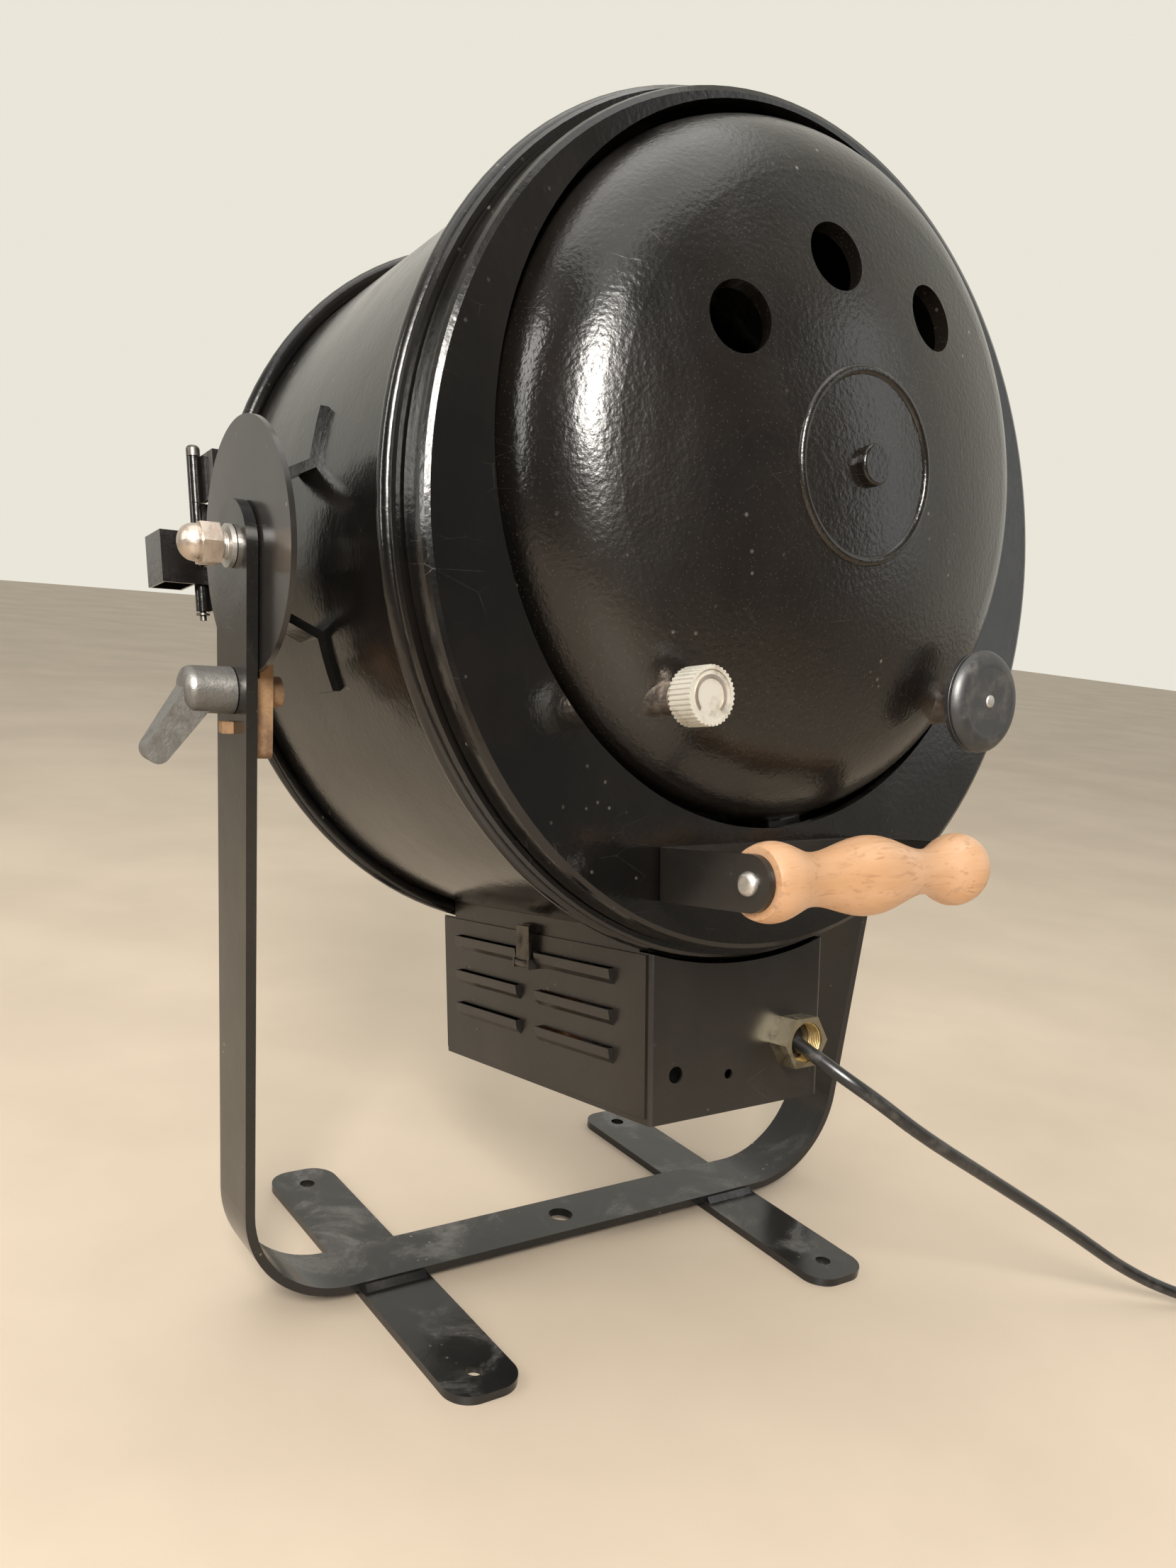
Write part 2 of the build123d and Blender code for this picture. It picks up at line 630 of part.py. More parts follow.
with BuildPart() as guide_rods:
    with BuildSketch(across(168)):
        with Locations(*RODS):
            Circle(ROD_R)
    extrude(amount=168 - BRIDGE_S)
guide_rods.part.label = "guide_rods"
export_step(guide_rods.part, "parts/guide_rods.step")

CARRIAGE_T = 4.0
HOLDER_R = 18.0
with BuildPart() as lamp_carriage:
    with BuildSketch(across(CARRIAGE_S + CARRIAGE_T)):
        with BuildLine():
            CenterArc((0, 0), 34, 0, 360)
            CenterArc((FOCUS_X, FOCUS_V), 12, 0, 360)
            CenterArc(RODS[0], 10, 0, 360)
            CenterArc(RODS[1], 10, 0, 360)
        make_hull()
        with Locations(*RODS):
            Circle(ROD_R + FIT, mode=Mode.SUBTRACT)
        with Locations((FOCUS_X, FOCUS_V)):
            Circle(SCREW_R + FIT, mode=Mode.SUBTRACT)
        Circle(HOLDER_R, mode=Mode.SUBTRACT)
    extrude(amount=CARRIAGE_T)
lamp_carriage.part.label = "lamp_carriage"
export_step(lamp_carriage.part, "parts/lamp_carriage.step")

SOCKET_FRONT = 20.0
with BuildPart() as lamp_holder:
    with BuildSketch(across(CARRIAGE_S + 20)):
        Circle(HOLDER_R)
        Circle(HOLDER_R - SHEET, mode=Mode.SUBTRACT)
    extrude(amount=CARRIAGE_S + 20 - SOCKET_FRONT)
lamp_holder.part.label = "lamp_holder"
export_step(lamp_holder.part, "parts/lamp_holder.step")

CAP_R = 11.0
with BuildPart() as lamp_socket:
    with BuildSketch(across(SOCKET_FRONT + 30)):
        Circle(HOLDER_R - SHEET)
    extrude(amount=30)
    with BuildSketch(across(SOCKET_FRONT + 18)):
        Circle(CAP_R)
    extrude(amount=18, mode=Mode.SUBTRACT)
lamp_socket.part.label = "lamp_socket"
export_step(lamp_socket.part, "parts/lamp_socket.step")

with BuildPart() as lamp_cap:
    with BuildSketch(across(SOCKET_FRONT + 18)):
        Circle(CAP_R)
    extrude(amount=22)
lamp_cap.part.label = "lamp_cap"
export_step(lamp_cap.part, "parts/lamp_cap.step")

BULB_S = MIRROR_VERTEX - FOCAL
BULB_R = 22.0
CAP_FRONT = SOCKET_FRONT - 4
with BuildPart() as lamp_bulb:
    with BuildSketch(PROFILE):
        with BuildLine():
            Line((BULB_S - BULB_R, 0), (CAP_FRONT, 0))
            Line((CAP_FRONT, 0), (CAP_FRONT, CAP_R - 1))
            Spline((CAP_FRONT, CAP_R - 1), (BULB_S + 12, 18), (BULB_S, BULB_R),
                   tangents=((-1, 0.2), (-1, 0)))
            RadiusArc((BULB_S, BULB_R), (BULB_S - BULB_R, 0), -BULB_R)
        make_face()
    revolve(axis=DRUM_AXIS)
lamp_bulb.part.label = "lamp_bulb"
export_step(lamp_bulb.part, "parts/lamp_bulb.step")

SHIELD_R = 24.5
with BuildPart() as lamp_shield:
    with BuildSketch(PROFILE):
        with BuildLine():
            RadiusArc((BULB_S, SHIELD_R), (BULB_S - SHIELD_R, 0), -SHIELD_R)
            Line((BULB_S - SHIELD_R, 0), (BULB_S - SHIELD_R + 1.2, 0))
            RadiusArc((BULB_S - SHIELD_R + 1.2, 0), (BULB_S, SHIELD_R - 1.2), SHIELD_R - 1.2)
            Line((BULB_S, SHIELD_R - 1.2), (BULB_S, SHIELD_R))
        make_face()
    revolve(axis=DRUM_AXIS)
    for turn in (0, 180):
        with BuildSketch(meridian(turn)):
            outline([
                (BULB_S, SHIELD_R), (34, SHIELD_R), (34, HOLDER_R), (24, HOLDER_R),
                (24, SHIELD_R - 1.2), (BULB_S, SHIELD_R - 1.2),
            ])
        revolve(axis=DRUM_AXIS, revolution_arc=14)
lamp_shield.part.label = "lamp_shield"
export_step(lamp_shield.part, "parts/lamp_shield.step")

# ================= controls on the dome =================
FOCUS_BUSH_OUT, TRIM_BUSH_OUT = 178.0, 176.0
with BuildPart() as control_bushes:
    with BuildSketch(across(FOCUS_BUSH_OUT)):
        with Locations((FOCUS_X, FOCUS_V)):
            Circle(10.5)
            Circle(SCREW_R + FIT, mode=Mode.SUBTRACT)
    extrude(amount=26)
    with BuildSketch(across(TRIM_BUSH_OUT)):
        with Locations((TRIM_X, TRIM_V)):
            Circle(8)
            Circle(TRIM_SHAFT_R + FIT, mode=Mode.SUBTRACT)
    extrude(amount=TRIM_BUSH_OUT - 142)
control_bushes.part.label = "control_bushes"
export_step(control_bushes.part, "parts/control_bushes.step")

with BuildPart() as rotary_switch:
    with BuildSketch(across(142)):
        with Locations((TRIM_X, TRIM_V)):
            Circle(10)
    extrude(amount=22)
    with BuildSketch(across(143)):
        with Locations((TRIM_X, TRIM_V)):
            Circle(TRIM_SHAFT_R + FIT)
    extrude(amount=15, mode=Mode.SUBTRACT)
rotary_switch.part.label = "rotary_switch"
export_step(rotary_switch.part, "parts/rotary_switch.step")

with BuildPart() as focus_knob:
    with BuildSketch(PROFILE.offset(FOCUS_X)):
        with BuildLine():
            Polyline((FOCUS_BUSH_OUT + 0.5, FOCUS_V + SCREW_R), (FOCUS_BUSH_OUT + 0.5, FOCUS_V + 11),
                     (185, FOCUS_V + 12), (186.5, FOCUS_V + 24), (189, FOCUS_V + 27),
                     (193.5, FOCUS_V + 27))
            ThreePointArc((193.5, FOCUS_V + 27), (196.7, FOCUS_V + 24), (198, FOCUS_V + 18))
            Polyline((198, FOCUS_V + 18), (198, FOCUS_V), (190, FOCUS_V), (190, FOCUS_V + SCREW_R),
                     (FOCUS_BUSH_OUT + 0.5, FOCUS_V + SCREW_R))
        make_face()
    revolve(axis=Axis(head(FOCUS_X, 0, FOCUS_V), AXIS_DIR))
focus_knob.part.label = "focus_knob"
export_step(focus_knob.part, "parts/focus_knob.step")

with BuildPart() as lead_screw:
    with BuildSketch(across(190)):
        with Locations((FOCUS_X, FOCUS_V)):
            Circle(SCREW_R)
    extrude(amount=190 - BRIDGE_S + 2)
lead_screw.part.label = "lead_screw"
export_step(lead_screw.part, "parts/lead_screw.step")

TRIM_R = 13.7
with BuildPart() as trim_knob:
    with BuildSketch(across(199)):
        with Locations((TRIM_X, TRIM_V)):
            Circle(TRIM_R)
            with PolarLocations(TRIM_R, 36):
                Circle(0.7, mode=Mode.SUBTRACT)
    extrude(amount=15)
    with BuildSketch(across(184)):
        with Locations((TRIM_X, TRIM_V)):
            Circle(7)
    extrude(amount=184 - TRIM_BUSH_OUT - 0.5)
    with BuildSketch(across(199)):
        with Locations((TRIM_X, TRIM_V)):
            Circle(TRIM_R - 2)
    extrude(amount=1, mode=Mode.SUBTRACT)
    with BuildSketch(across(190)):
        with Locations((TRIM_X, TRIM_V)):
            Circle(TRIM_SHAFT_R)
    extrude(amount=20, mode=Mode.SUBTRACT)
trim_knob.part.label = "trim_knob"
export_step(trim_knob.part, "parts/trim_knob.step")

with BuildPart() as trim_shaft:
    with BuildSketch(across(190)):
        with Locations((TRIM_X, TRIM_V)):
            Circle(TRIM_SHAFT_R)
    extrude(amount=190 - 128.5)
trim_shaft.part.label = "trim_shaft"
export_step(trim_shaft.part, "parts/trim_shaft.step")

# ================= front door and hinge =================
KNUCKLES = ((-17.0, 8.5), (9.0, 44.0), (44.5, 70.0))  # limits along v, the middle one on the door
DOOR_BACK, DOOR_FRONT = -121.0, -122.5
COLLAR_R = 186.0
LEAF_IN = HINGE_X - 4.7


def knuckle_sketch():
    """Section of one hinge knuckle, in the open sketch."""
    with Locations((HINGE_X, HINGE_S)):
        Circle(HINGE_R)


def knuckle_bore(mode=Mode.ADD):
    """Section of the hinge pin's hole, in the open sketch."""
    with Locations((HINGE_X, HINGE_S)):
        Circle(HINGE_PIN_R + FIT, mode=mode)


with BuildPart() as hinge_leaf:
    for low, high in (KNUCKLES[0], KNUCKLES[2]):
        with BuildSketch(level(low)):
            knuckle_sketch()
            box_sketch(LEAF_IN, LEAF_IN + 2, HINGE_S, -100)
            box_sketch(190, LEAF_IN + 2, -104, -100)
        extrude(amount=high - low)
    with BuildSketch(across(0)):
        Circle(DRUM_R)
    extrude(amount=REACH, mode=Mode.SUBTRACT)
    with BuildSketch(level(KNUCKLES[0][0] - 1)):
        knuckle_bore()
    extrude(amount=REACH / 2, mode=Mode.SUBTRACT)
hinge_leaf.part.label = "hinge_leaf"
export_step(hinge_leaf.part, "parts/hinge_leaf.step")

with BuildPart() as hinge_pin:
    with BuildSketch(level(KNUCKLES[0][0] - 5)):
        with Locations((HINGE_X, HINGE_S)):
            Circle(HINGE_PIN_R)
    extrude(amount=KNUCKLES[2][1] - KNUCKLES[0][0] + 8)
    with BuildSketch(level(KNUCKLES[2][1] + 0.5)):
        with Locations((HINGE_X, HINGE_S)):
            Circle(HINGE_R)
    extrude(amount=6)
    fillet(hinge_pin.edges().group_by(Axis((0, 0, 0), UP_DIR))[-1], radius=2.5)
    with BuildSketch(level(KNUCKLES[0][0] - 2)):
        with Locations((HINGE_X, HINGE_S)):
            Circle(HINGE_R)
    extrude(amount=1)
hinge_pin.part.label = "hinge_pin"
export_step(hinge_pin.part, "parts/hinge_pin.step")

LOOP_OUT, LOOP_IN = 250.0, HINGE_X + HINGE_R + 0.6
LOOP_FRONT, LOOP_BACK = -150.0, -119.5
with BuildPart() as front_loop:
    with BuildSketch(level(-2)):
        box_sketch(LOOP_IN, LOOP_OUT, LOOP_FRONT, LOOP_BACK)
        box_sketch(LOOP_IN + SHEET, LOOP_OUT - SHEET, LOOP_FRONT + SHEET, LOOP_BACK - SHEET, Mode.SUBTRACT)
    extrude(amount=29)
    with BuildSketch(level(-2)):
        box_sketch(LEAF_IN + 2, LOOP_IN, LOOP_BACK - SHEET, LOOP_BACK)
    extrude(amount=10)
front_loop.part.label = "front_loop"
export_step(front_loop.part, "parts/front_loop.step")

with BuildPart() as door_ring:
    with BuildSketch(across(DOOR_BACK)):
        Circle(DRUM_R + 6)
        Circle(COLLAR_R, mode=Mode.SUBTRACT)
    extrude(amount=DOOR_BACK - DOOR_FRONT)
    with BuildSketch(across(DOOR_FRONT)):
        Circle(COLLAR_R + SHEET)
        Circle(COLLAR_R, mode=Mode.SUBTRACT)
    extrude(amount=18)
door_ring.part.label = "door_ring"
export_step(door_ring.part, "parts/door_ring.step")

with BuildPart() as door_leaf:
    with BuildSketch(level(KNUCKLES[1][0])):
        knuckle_sketch()
        box_sketch(196, HINGE_X, DOOR_FRONT - 2, DOOR_FRONT)
        knuckle_bore(Mode.SUBTRACT)
    extrude(amount=KNUCKLES[1][1] - KNUCKLES[1][0])
door_leaf.part.label = "door_leaf"
export_step(door_leaf.part, "parts/door_leaf.step")

SPILL_RADII = (60.0, 100.0, 140.0, 176.0)
SPILL_T = 1.2
SPILL_FRONT, SPILL_BACK = -138.0, -98.0
with BuildPart() as spill_rings:
    with BuildSketch(across(SPILL_BACK)):
        for radius in SPILL_RADII:
            Circle(radius + SPILL_T)
            Circle(radius, mode=Mode.SUBTRACT)
    extrude(amount=SPILL_BACK - SPILL_FRONT)
    with BuildSketch(across(SPILL_BACK)):
        Circle(COLLAR_R)
        for way in (1, -1):
            box_sketch(way * SPILL_T / 2, way * REACH, SPILL_T / 2, REACH, Mode.SUBTRACT)
            box_sketch(way * SPILL_T / 2, way * REACH, -REACH, -SPILL_T / 2, Mode.SUBTRACT)
        Circle(SPILL_RADII[0], mode=Mode.SUBTRACT)
    extrude(amount=SPILL_BACK - SPILL_FRONT)
spill_rings.part.label = "spill_rings"
export_step(spill_rings.part, "parts/spill_rings.step")

with BuildPart() as front_clip:
    with BuildSketch(level(-12)):
        box_sketch(-223.5, -222, HINGE_S, -95)
        box_sketch(-223.5, -217.6, HINGE_S, HINGE_S + 2)
        box_sketch(-223.5, -200, -99, -95)
    extrude(amount=24)
    with BuildSketch(across(0)):
        Circle(DRUM_R)
    extrude(amount=REACH, mode=Mode.SUBTRACT)
front_clip.part.label = "front_clip"
export_step(front_clip.part, "parts/front_clip.step")

# ================= transformer box =================
WINDOW = (-118.0, 106.0, -302.0, -216.0)  # opening behind the side panel, s and v limits
GLAND_THREAD_R = 12.0
BOX_HOLES = ((47.8, -282.0, 5.0), (7.9, -287.0, 3.0))
with BuildPart() as box_body:
    with BuildSketch(across(BOX_REAR)):
        box_sketch(-BOX_X, BOX_X, BOX_BOTTOM, -150)
    extrude(amount=BOX_REAR - BOX_FRONT)
    vertical = box_body.edges().filter_by(Axis((0, 0, 0), UP_DIR))
    fillet(vertical, radius=3)
    with BuildSketch(across(BOX_REAR - SHEET)):
        box_sketch(SHEET - BOX_X, BOX_X - SHEET, BOX_BOTTOM + SHEET, -100)
    extrude(amount=BOX_REAR - BOX_FRONT - 2 * SHEET, mode=Mode.SUBTRACT)
    with BuildSketch(across(REACH)):
        Circle(DRUM_R)
    extrude(amount=2 * REACH, mode=Mode.SUBTRACT)
    with BuildSketch(PROFILE):
        box_sketch(BOX_FRONT - 1, FRONT_BEAD_S + BEAD_R + 0.5, 0, BEAD_MID + BEAD_R + 1)
        box_sketch(REAR_BEAD_S - BEAD_R - 0.5, BOX_REAR + 1, 0, BEAD_MID + BEAD_R + 1)
    revolve(axis=DRUM_AXIS, mode=Mode.SUBTRACT)
    with BuildSketch(side(BOX_X - 2 * SHEET)):
        box_sketch(*WINDOW)
    extrude(amount=3 * SHEET, mode=Mode.SUBTRACT)
    with BuildSketch(across(BOX_REAR + 1)):
        with Locations((GLAND_X, GLAND_V)):
            Circle(GLAND_THREAD_R)
        for hole_x, hole_v, hole_r in BOX_HOLES:
            with Locations((hole_x, hole_v)):
                Circle(hole_r)
    extrude(amount=2 + SHEET, mode=Mode.SUBTRACT)
box_body.part.label = "box_body"
export_step(box_body.part, "parts/box_body.step")

LOUVRE_HALF = 40.0
HOOD_END = 1.0
with BuildPart() as side_panel:
    with BuildSketch(side(BOX_X)):
        box_sketch(WINDOW[0] - 4, WINDOW[1] + 4, WINDOW[2] - 4, WINDOW[3] + 4)
    extrude(amount=PANEL_T)
    for louvre_s in LOUVRE_COLUMNS:
        for louvre_v in LOUVRE_ROWS:
            with BuildSketch(across(louvre_s + LOUVRE_HALF)):
                outline([
                    (BOX_X + PANEL_T / 2, louvre_v - 5), (BOX_X + 4.4, louvre_v - 1),
                    (BOX_X + 5.4, louvre_v + 5), (BOX_X + PANEL_T / 2, louvre_v + 5),
                ])
            extrude(amount=2 * LOUVRE_HALF)
            with BuildSketch(across(louvre_s + LOUVRE_HALF - HOOD_END)):
                outline([
                    (BOX_X - 1, louvre_v - 4), (BOX_X + 0.8, louvre_v - 3.4),
                    (BOX_X + 3.4, louvre_v - 0.6), (BOX_X + 4.4, louvre_v + 5.5),
                    (BOX_X - 1, louvre_v + 5.5),
                ])
            extrude(amount=2 * (LOUVRE_HALF - HOOD_END), mode=Mode.SUBTRACT)
side_panel.part.label = "side_panel"
export_step(side_panel.part, "parts/side_panel.step")

LATCH_S = -10.0
LATCH_X = BOX_X + PANEL_T
LATCH_PIVOT_X, LATCH_PIVOT_V = LATCH_X + 4.0, -231.0
LATCH_HALF = 7.5
EAR_T = 1.5
LATCH_PIN_R = 1.4
with BuildPart() as latch_base:
    with BuildSketch(across(LATCH_S + LATCH_HALF + 0.4 + EAR_T)):
        box_sketch(LATCH_X, LATCH_PIVOT_X + 3, LATCH_PIVOT_V - 3, LATCH_PIVOT_V + 3)
    extrude(amount=EAR_T)
    with BuildSketch(across(LATCH_S - LATCH_HALF - 0.4)):
        box_sketch(LATCH_X, LATCH_PIVOT_X + 3, LATCH_PIVOT_V - 3, LATCH_PIVOT_V + 3)
    extrude(amount=EAR_T)
    with BuildSketch(across(LATCH_S + LATCH_HALF + 0.4 + EAR_T)):
        box_sketch(LATCH_X, LATCH_X + 0.8, LATCH_PIVOT_V - 3, LATCH_PIVOT_V + 3)
        with Locations((LATCH_PIVOT_X, LATCH_PIVOT_V)):
            Circle(LATCH_PIN_R)
    extrude(amount=2 * (LATCH_HALF + 0.4 + EAR_T))
    with BuildSketch(side(BOX_X)):
        box_sketch(LATCH_S - 5, LATCH_S + 5, -211.5, -206)
    extrude(amount=4)
latch_base.part.label = "latch_base"
export_step(latch_base.part, "parts/latch_base.step")

with BuildPart() as latch_lever:
    with BuildSketch(across(LATCH_S + LATCH_HALF)):
        with Locations((LATCH_PIVOT_X, LATCH_PIVOT_V)):
            Circle(LATCH_PIN_R + 1.4)
        box_sketch(LATCH_PIVOT_X, LATCH_PIVOT_X + 1.4, LATCH_PIVOT_V, LATCH_PIVOT_V + 24)
        with Locations((LATCH_PIVOT_X, LATCH_PIVOT_V)):
            Circle(LATCH_PIN_R + FIT, mode=Mode.SUBTRACT)
    extrude(amount=2 * LATCH_HALF)
latch_lever.part.label = "latch_lever"
export_step(latch_lever.part, "parts/latch_lever.step")

# ---- what the box holds ----
CORE_S, CORE_V = -50.0, -264.0
CORE_HALF = 22.0
with BuildPart() as transformer_core:
    with BuildSketch(side(-CORE_HALF)):
        with Locations((CORE_S, CORE_V)):
            Rectangle(96, 89)
        with Locations((CORE_S - 24, CORE_V), (CORE_S + 24, CORE_V)):
            Rectangle(16, 50, mode=Mode.SUBTRACT)
    extrude(amount=2 * CORE_HALF)
transformer_core.part.label = "transformer_core"
export_step(transformer_core.part, "parts/transformer_core.step")

with BuildPart() as transformer_coil:
    with BuildSketch(level(CORE_V - 24)):
        with Locations((0, CORE_S)):
            RectangleRounded(72, 62, 8)
            Rectangle(2 * CORE_HALF, 32, mode=Mode.SUBTRACT)
    extrude(amount=48)
transformer_coil.part.label = "transformer_coil"
export_step(transformer_coil.part, "parts/transformer_coil.step")

with BuildPart() as terminal_block:
    with BuildSketch(level(BOX_BOTTOM + SHEET)):
        box_sketch(-24, 24, 34, 60)
    extrude(amount=20)
    with BuildSketch(level(BOX_BOTTOM + SHEET + 20)):
        with GridLocations(11, 12, 4, 2):
            with Locations((0, 47)):
                Circle(2.5)
    extrude(amount=-8, mode=Mode.SUBTRACT)
terminal_block.part.label = "terminal_block"
export_step(terminal_block.part, "parts/terminal_block.step")

with BuildPart() as lead_sleeve:
    with BuildSketch(level(-240)):
        with Locations((0, LEAD_HOLE_S)):
            Circle(LEAD_R)
    extrude(amount=160)
    with BuildSketch(level(-DRUM_R - 4)):
        with Locations((0, LEAD_HOLE_S)):
            Circle(LEAD_R + 2)
    extrude(amount=9)
lead_sleeve.part.label = "lead_sleeve"
export_step(lead_sleeve.part, "parts/lead_sleeve.step")

GLAND_IN, GLAND_OUT = 106.0, 128.0
with BuildPart() as cable_gland:
    with BuildSketch(across(GLAND_OUT)):
        with Locations((GLAND_X, GLAND_V)):
            hexagon(30)
    extrude(amount=GLAND_OUT - BOX_REAR)
    with BuildSketch(across(BOX_REAR)):
        with Locations((GLAND_X, GLAND_V)):
            Circle(GLAND_THREAD_R)
    extrude(amount=BOX_REAR - GLAND_IN)
    with BuildSketch(across(GLAND_OUT)):
        with Locations((GLAND_X, GLAND_V)):
            Circle(GLAND_THREAD_R + 0.4)
    extrude(amount=GLAND_OUT - BOX_REAR - 1, mode=Mode.SUBTRACT)
    with BuildSketch(across(GLAND_OUT)):
        with Locations((GLAND_X, GLAND_V)):
            Circle(9.5)
    extrude(amount=GLAND_OUT - GLAND_IN, mode=Mode.SUBTRACT)
cable_gland.part.label = "cable_gland"
export_step(cable_gland.part, "parts/cable_gland.step")

with BuildPart() as gland_locknut:
    with BuildSketch(across(BOX_REAR - SHEET)):
        with Locations((GLAND_X, GLAND_V)):
            hexagon(28)
            Circle(GLAND_THREAD_R, mode=Mode.SUBTRACT)
    extrude(amount=4)
gland_locknut.part.label = "gland_locknut"
export_step(gland_locknut.part, "parts/gland_locknut.step")

with BuildPart() as gland_seal:
    with BuildSketch(across(BOX_REAR + 1)):
        with Locations((GLAND_X, GLAND_V)):
            Circle(9.5)
    extrude(amount=BOX_REAR + 1 - GLAND_IN)
gland_seal.part.label = "gland_seal"
export_step(gland_seal.part, "parts/gland_seal.step")

# ================= mains lead =================
CABLE_LIE = 4.4
COIL_X, COIL_Y = -405.0, 378.0
COIL_MID = 47.0
COIL_HALF = 13.0
COIL_H = 17.0
ROUTE = [
    head(GLAND_X, BOX_REAR + 1, GLAND_V),
    (-47, 195, 197),
    (-69.5, 212, 181),
    (-103, 223, 157),
    (-173, 233, 116),
    (-245, 247, 73),
    (-315, 267, 27),
    (-370, 292, CABLE_LIE),
    (-407, 316, CABLE_LIE),
]


def bend_radii(points):
    """Largest arcs that the runs of a route allow at its inner points."""
    radii = []
    for before, point, after in zip(points, points[1:], points[2:]):
        run_in, run_out = Vector(*point) - Vector(*before), Vector(*after) - Vector(*point)
        half_turn = radians(run_in.get_angle(run_out)) / 2
        radii.append(0.45 * min(run_in.length, run_out.length) / tan(half_turn))
    return radii


with BuildPart() as mains_cable:
    with BuildLine() as route:
        FilletPolyline(*ROUTE, radius=bend_radii(ROUTE))
    start = Vector(*ROUTE[1]) - Vector(*ROUTE[0])
    with BuildSketch(Plane(origin=ROUTE[0], z_dir=start)):
        Circle(CABLE_R)
    sweep(path=route.wires()[0])
mains_cable.part.label = "mains_cable"
export_step(mains_cable.part, "parts/mains_cable.step")
print("mains cable radii", [round(radius, 1) for radius in bend_radii(ROUTE)])
print("mains cable length", round(route.wires()[0].length, 1))

with BuildPart() as cable_coil:
    with BuildSketch(Plane.XZ):
        with Locations((COIL_MID, COIL_H / 2 + 0.1)):
            RectangleRounded(2 * COIL_HALF, COIL_H, 4)
    revolve(axis=Axis.Z)
cable_coil.part.label = "cable_coil"
cable_coil.part.position = (COIL_X, COIL_Y, 0)
export_step(cable_coil.part, "parts/cable_coil.step")

PLUG_R = 18.5
PLUG_BODY = 34.0
SLEEVE_R = 6.0
SLEEVE_LEN = 22.0
PIN_LEN = 19.0
PLUG_X = COIL_X - COIL_MID - 3
PLUG_Y = COIL_Y + 32


def plug_plane(y):
    """Sketch plane square to the plug's axis, extruding away from the coil."""
    return Plane(origin=(PLUG_X, y, PLUG_R + 0.1), x_dir=(-1, 0, 0), z_dir=(0, 1, 0))


with BuildPart() as mains_plug:
    with BuildSketch(plug_plane(PLUG_Y)):
        Circle(SLEEVE_R)
    extrude(amount=SLEEVE_LEN)
    with BuildSketch(plug_plane(PLUG_Y + SLEEVE_LEN)):
        Circle(PLUG_R)
    extrude(amount=PLUG_BODY)
    fillet(mains_plug.edges().filter_by(GeomType.CIRCLE).group_by(SortBy.RADIUS)[-1], radius=3)
    with BuildSketch(plug_plane(PLUG_Y + SLEEVE_LEN + PLUG_BODY)):
        with Locations((-9.5, 0), (9.5, 0)):
            Circle(2.4)
    extrude(amount=PIN_LEN)
mains_plug.part.label = "mains_plug"
export_step(mains_plug.part, "parts/mains_plug.step")
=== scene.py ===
"""Looks of the beam projector: finishes, mains lead, small turned details, stage and camera."""

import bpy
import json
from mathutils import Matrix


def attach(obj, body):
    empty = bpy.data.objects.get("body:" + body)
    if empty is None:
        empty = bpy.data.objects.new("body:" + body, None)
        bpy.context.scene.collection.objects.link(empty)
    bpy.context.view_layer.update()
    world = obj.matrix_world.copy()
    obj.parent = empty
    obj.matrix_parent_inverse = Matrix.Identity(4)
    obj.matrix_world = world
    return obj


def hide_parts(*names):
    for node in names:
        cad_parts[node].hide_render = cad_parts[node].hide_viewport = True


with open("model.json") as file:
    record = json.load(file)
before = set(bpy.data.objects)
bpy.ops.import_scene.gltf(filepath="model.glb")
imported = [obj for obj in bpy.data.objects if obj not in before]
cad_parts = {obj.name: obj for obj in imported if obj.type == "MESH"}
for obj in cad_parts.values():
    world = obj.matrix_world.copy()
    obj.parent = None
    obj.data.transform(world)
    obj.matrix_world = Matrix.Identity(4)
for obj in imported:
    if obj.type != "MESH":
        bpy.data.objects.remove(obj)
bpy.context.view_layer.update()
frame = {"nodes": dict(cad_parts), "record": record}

import json
from math import cos, pi, radians, sin

import bmesh
import bpy
from mathutils import Matrix, Vector

bl_info = {
    "name": "Beam projector looks",
    "blender": (4, 5, 0),
    "version": (1, 0, 0),
    "location": "3D View > Sidebar > Projector",
    "description": "Dresses the packed beam projector and sets its stage",
    "category": "Object",
}

FINISH = {}
TILT = radians(10)
PIVOT = Vector((0, 0, 0.454))
AXIS = Vector((0, cos(TILT), sin(TILT)))
UP = Vector((0, -sin(TILT), cos(TILT)))
ACROSS = Vector((1, 0, 0))


FOCUS_X, FOCUS_V = -0.0998, -0.076
TRIM_X, TRIM_V = 0.0998, -0.079
KNOB_FACE = 0.198  # both knobs end here along the drum's axis
GLAND_X, GLAND_V = -0.0415, -0.272


def head(x, s, v):
    """The place of a point given in head coordinates, metres."""
    return PIVOT + ACROSS * x + AXIS * s + UP * v


# ---------------------------------------------------------------- settings
class ProjectorFinish(bpy.types.PropertyGroup):
    """How old the paint looks."""

    peel: bpy.props.FloatProperty(
        name="Orange peel", description="Depth of the paint's orange peel", default=0.00005,
        min=0.0, max=0.001, subtype="DISTANCE", unit="LENGTH", precision=6)
    dust: bpy.props.FloatProperty(
        name="Dust", description="How much dust lies on faces that look up", default=0.75,
        min=0.0, max=1.0, subtype="FACTOR")
    scratches: bpy.props.FloatProperty(
        name="Scratches", description="How strongly fine scratches show", default=0.16,
        min=0.0, max=1.0, subtype="FACTOR")


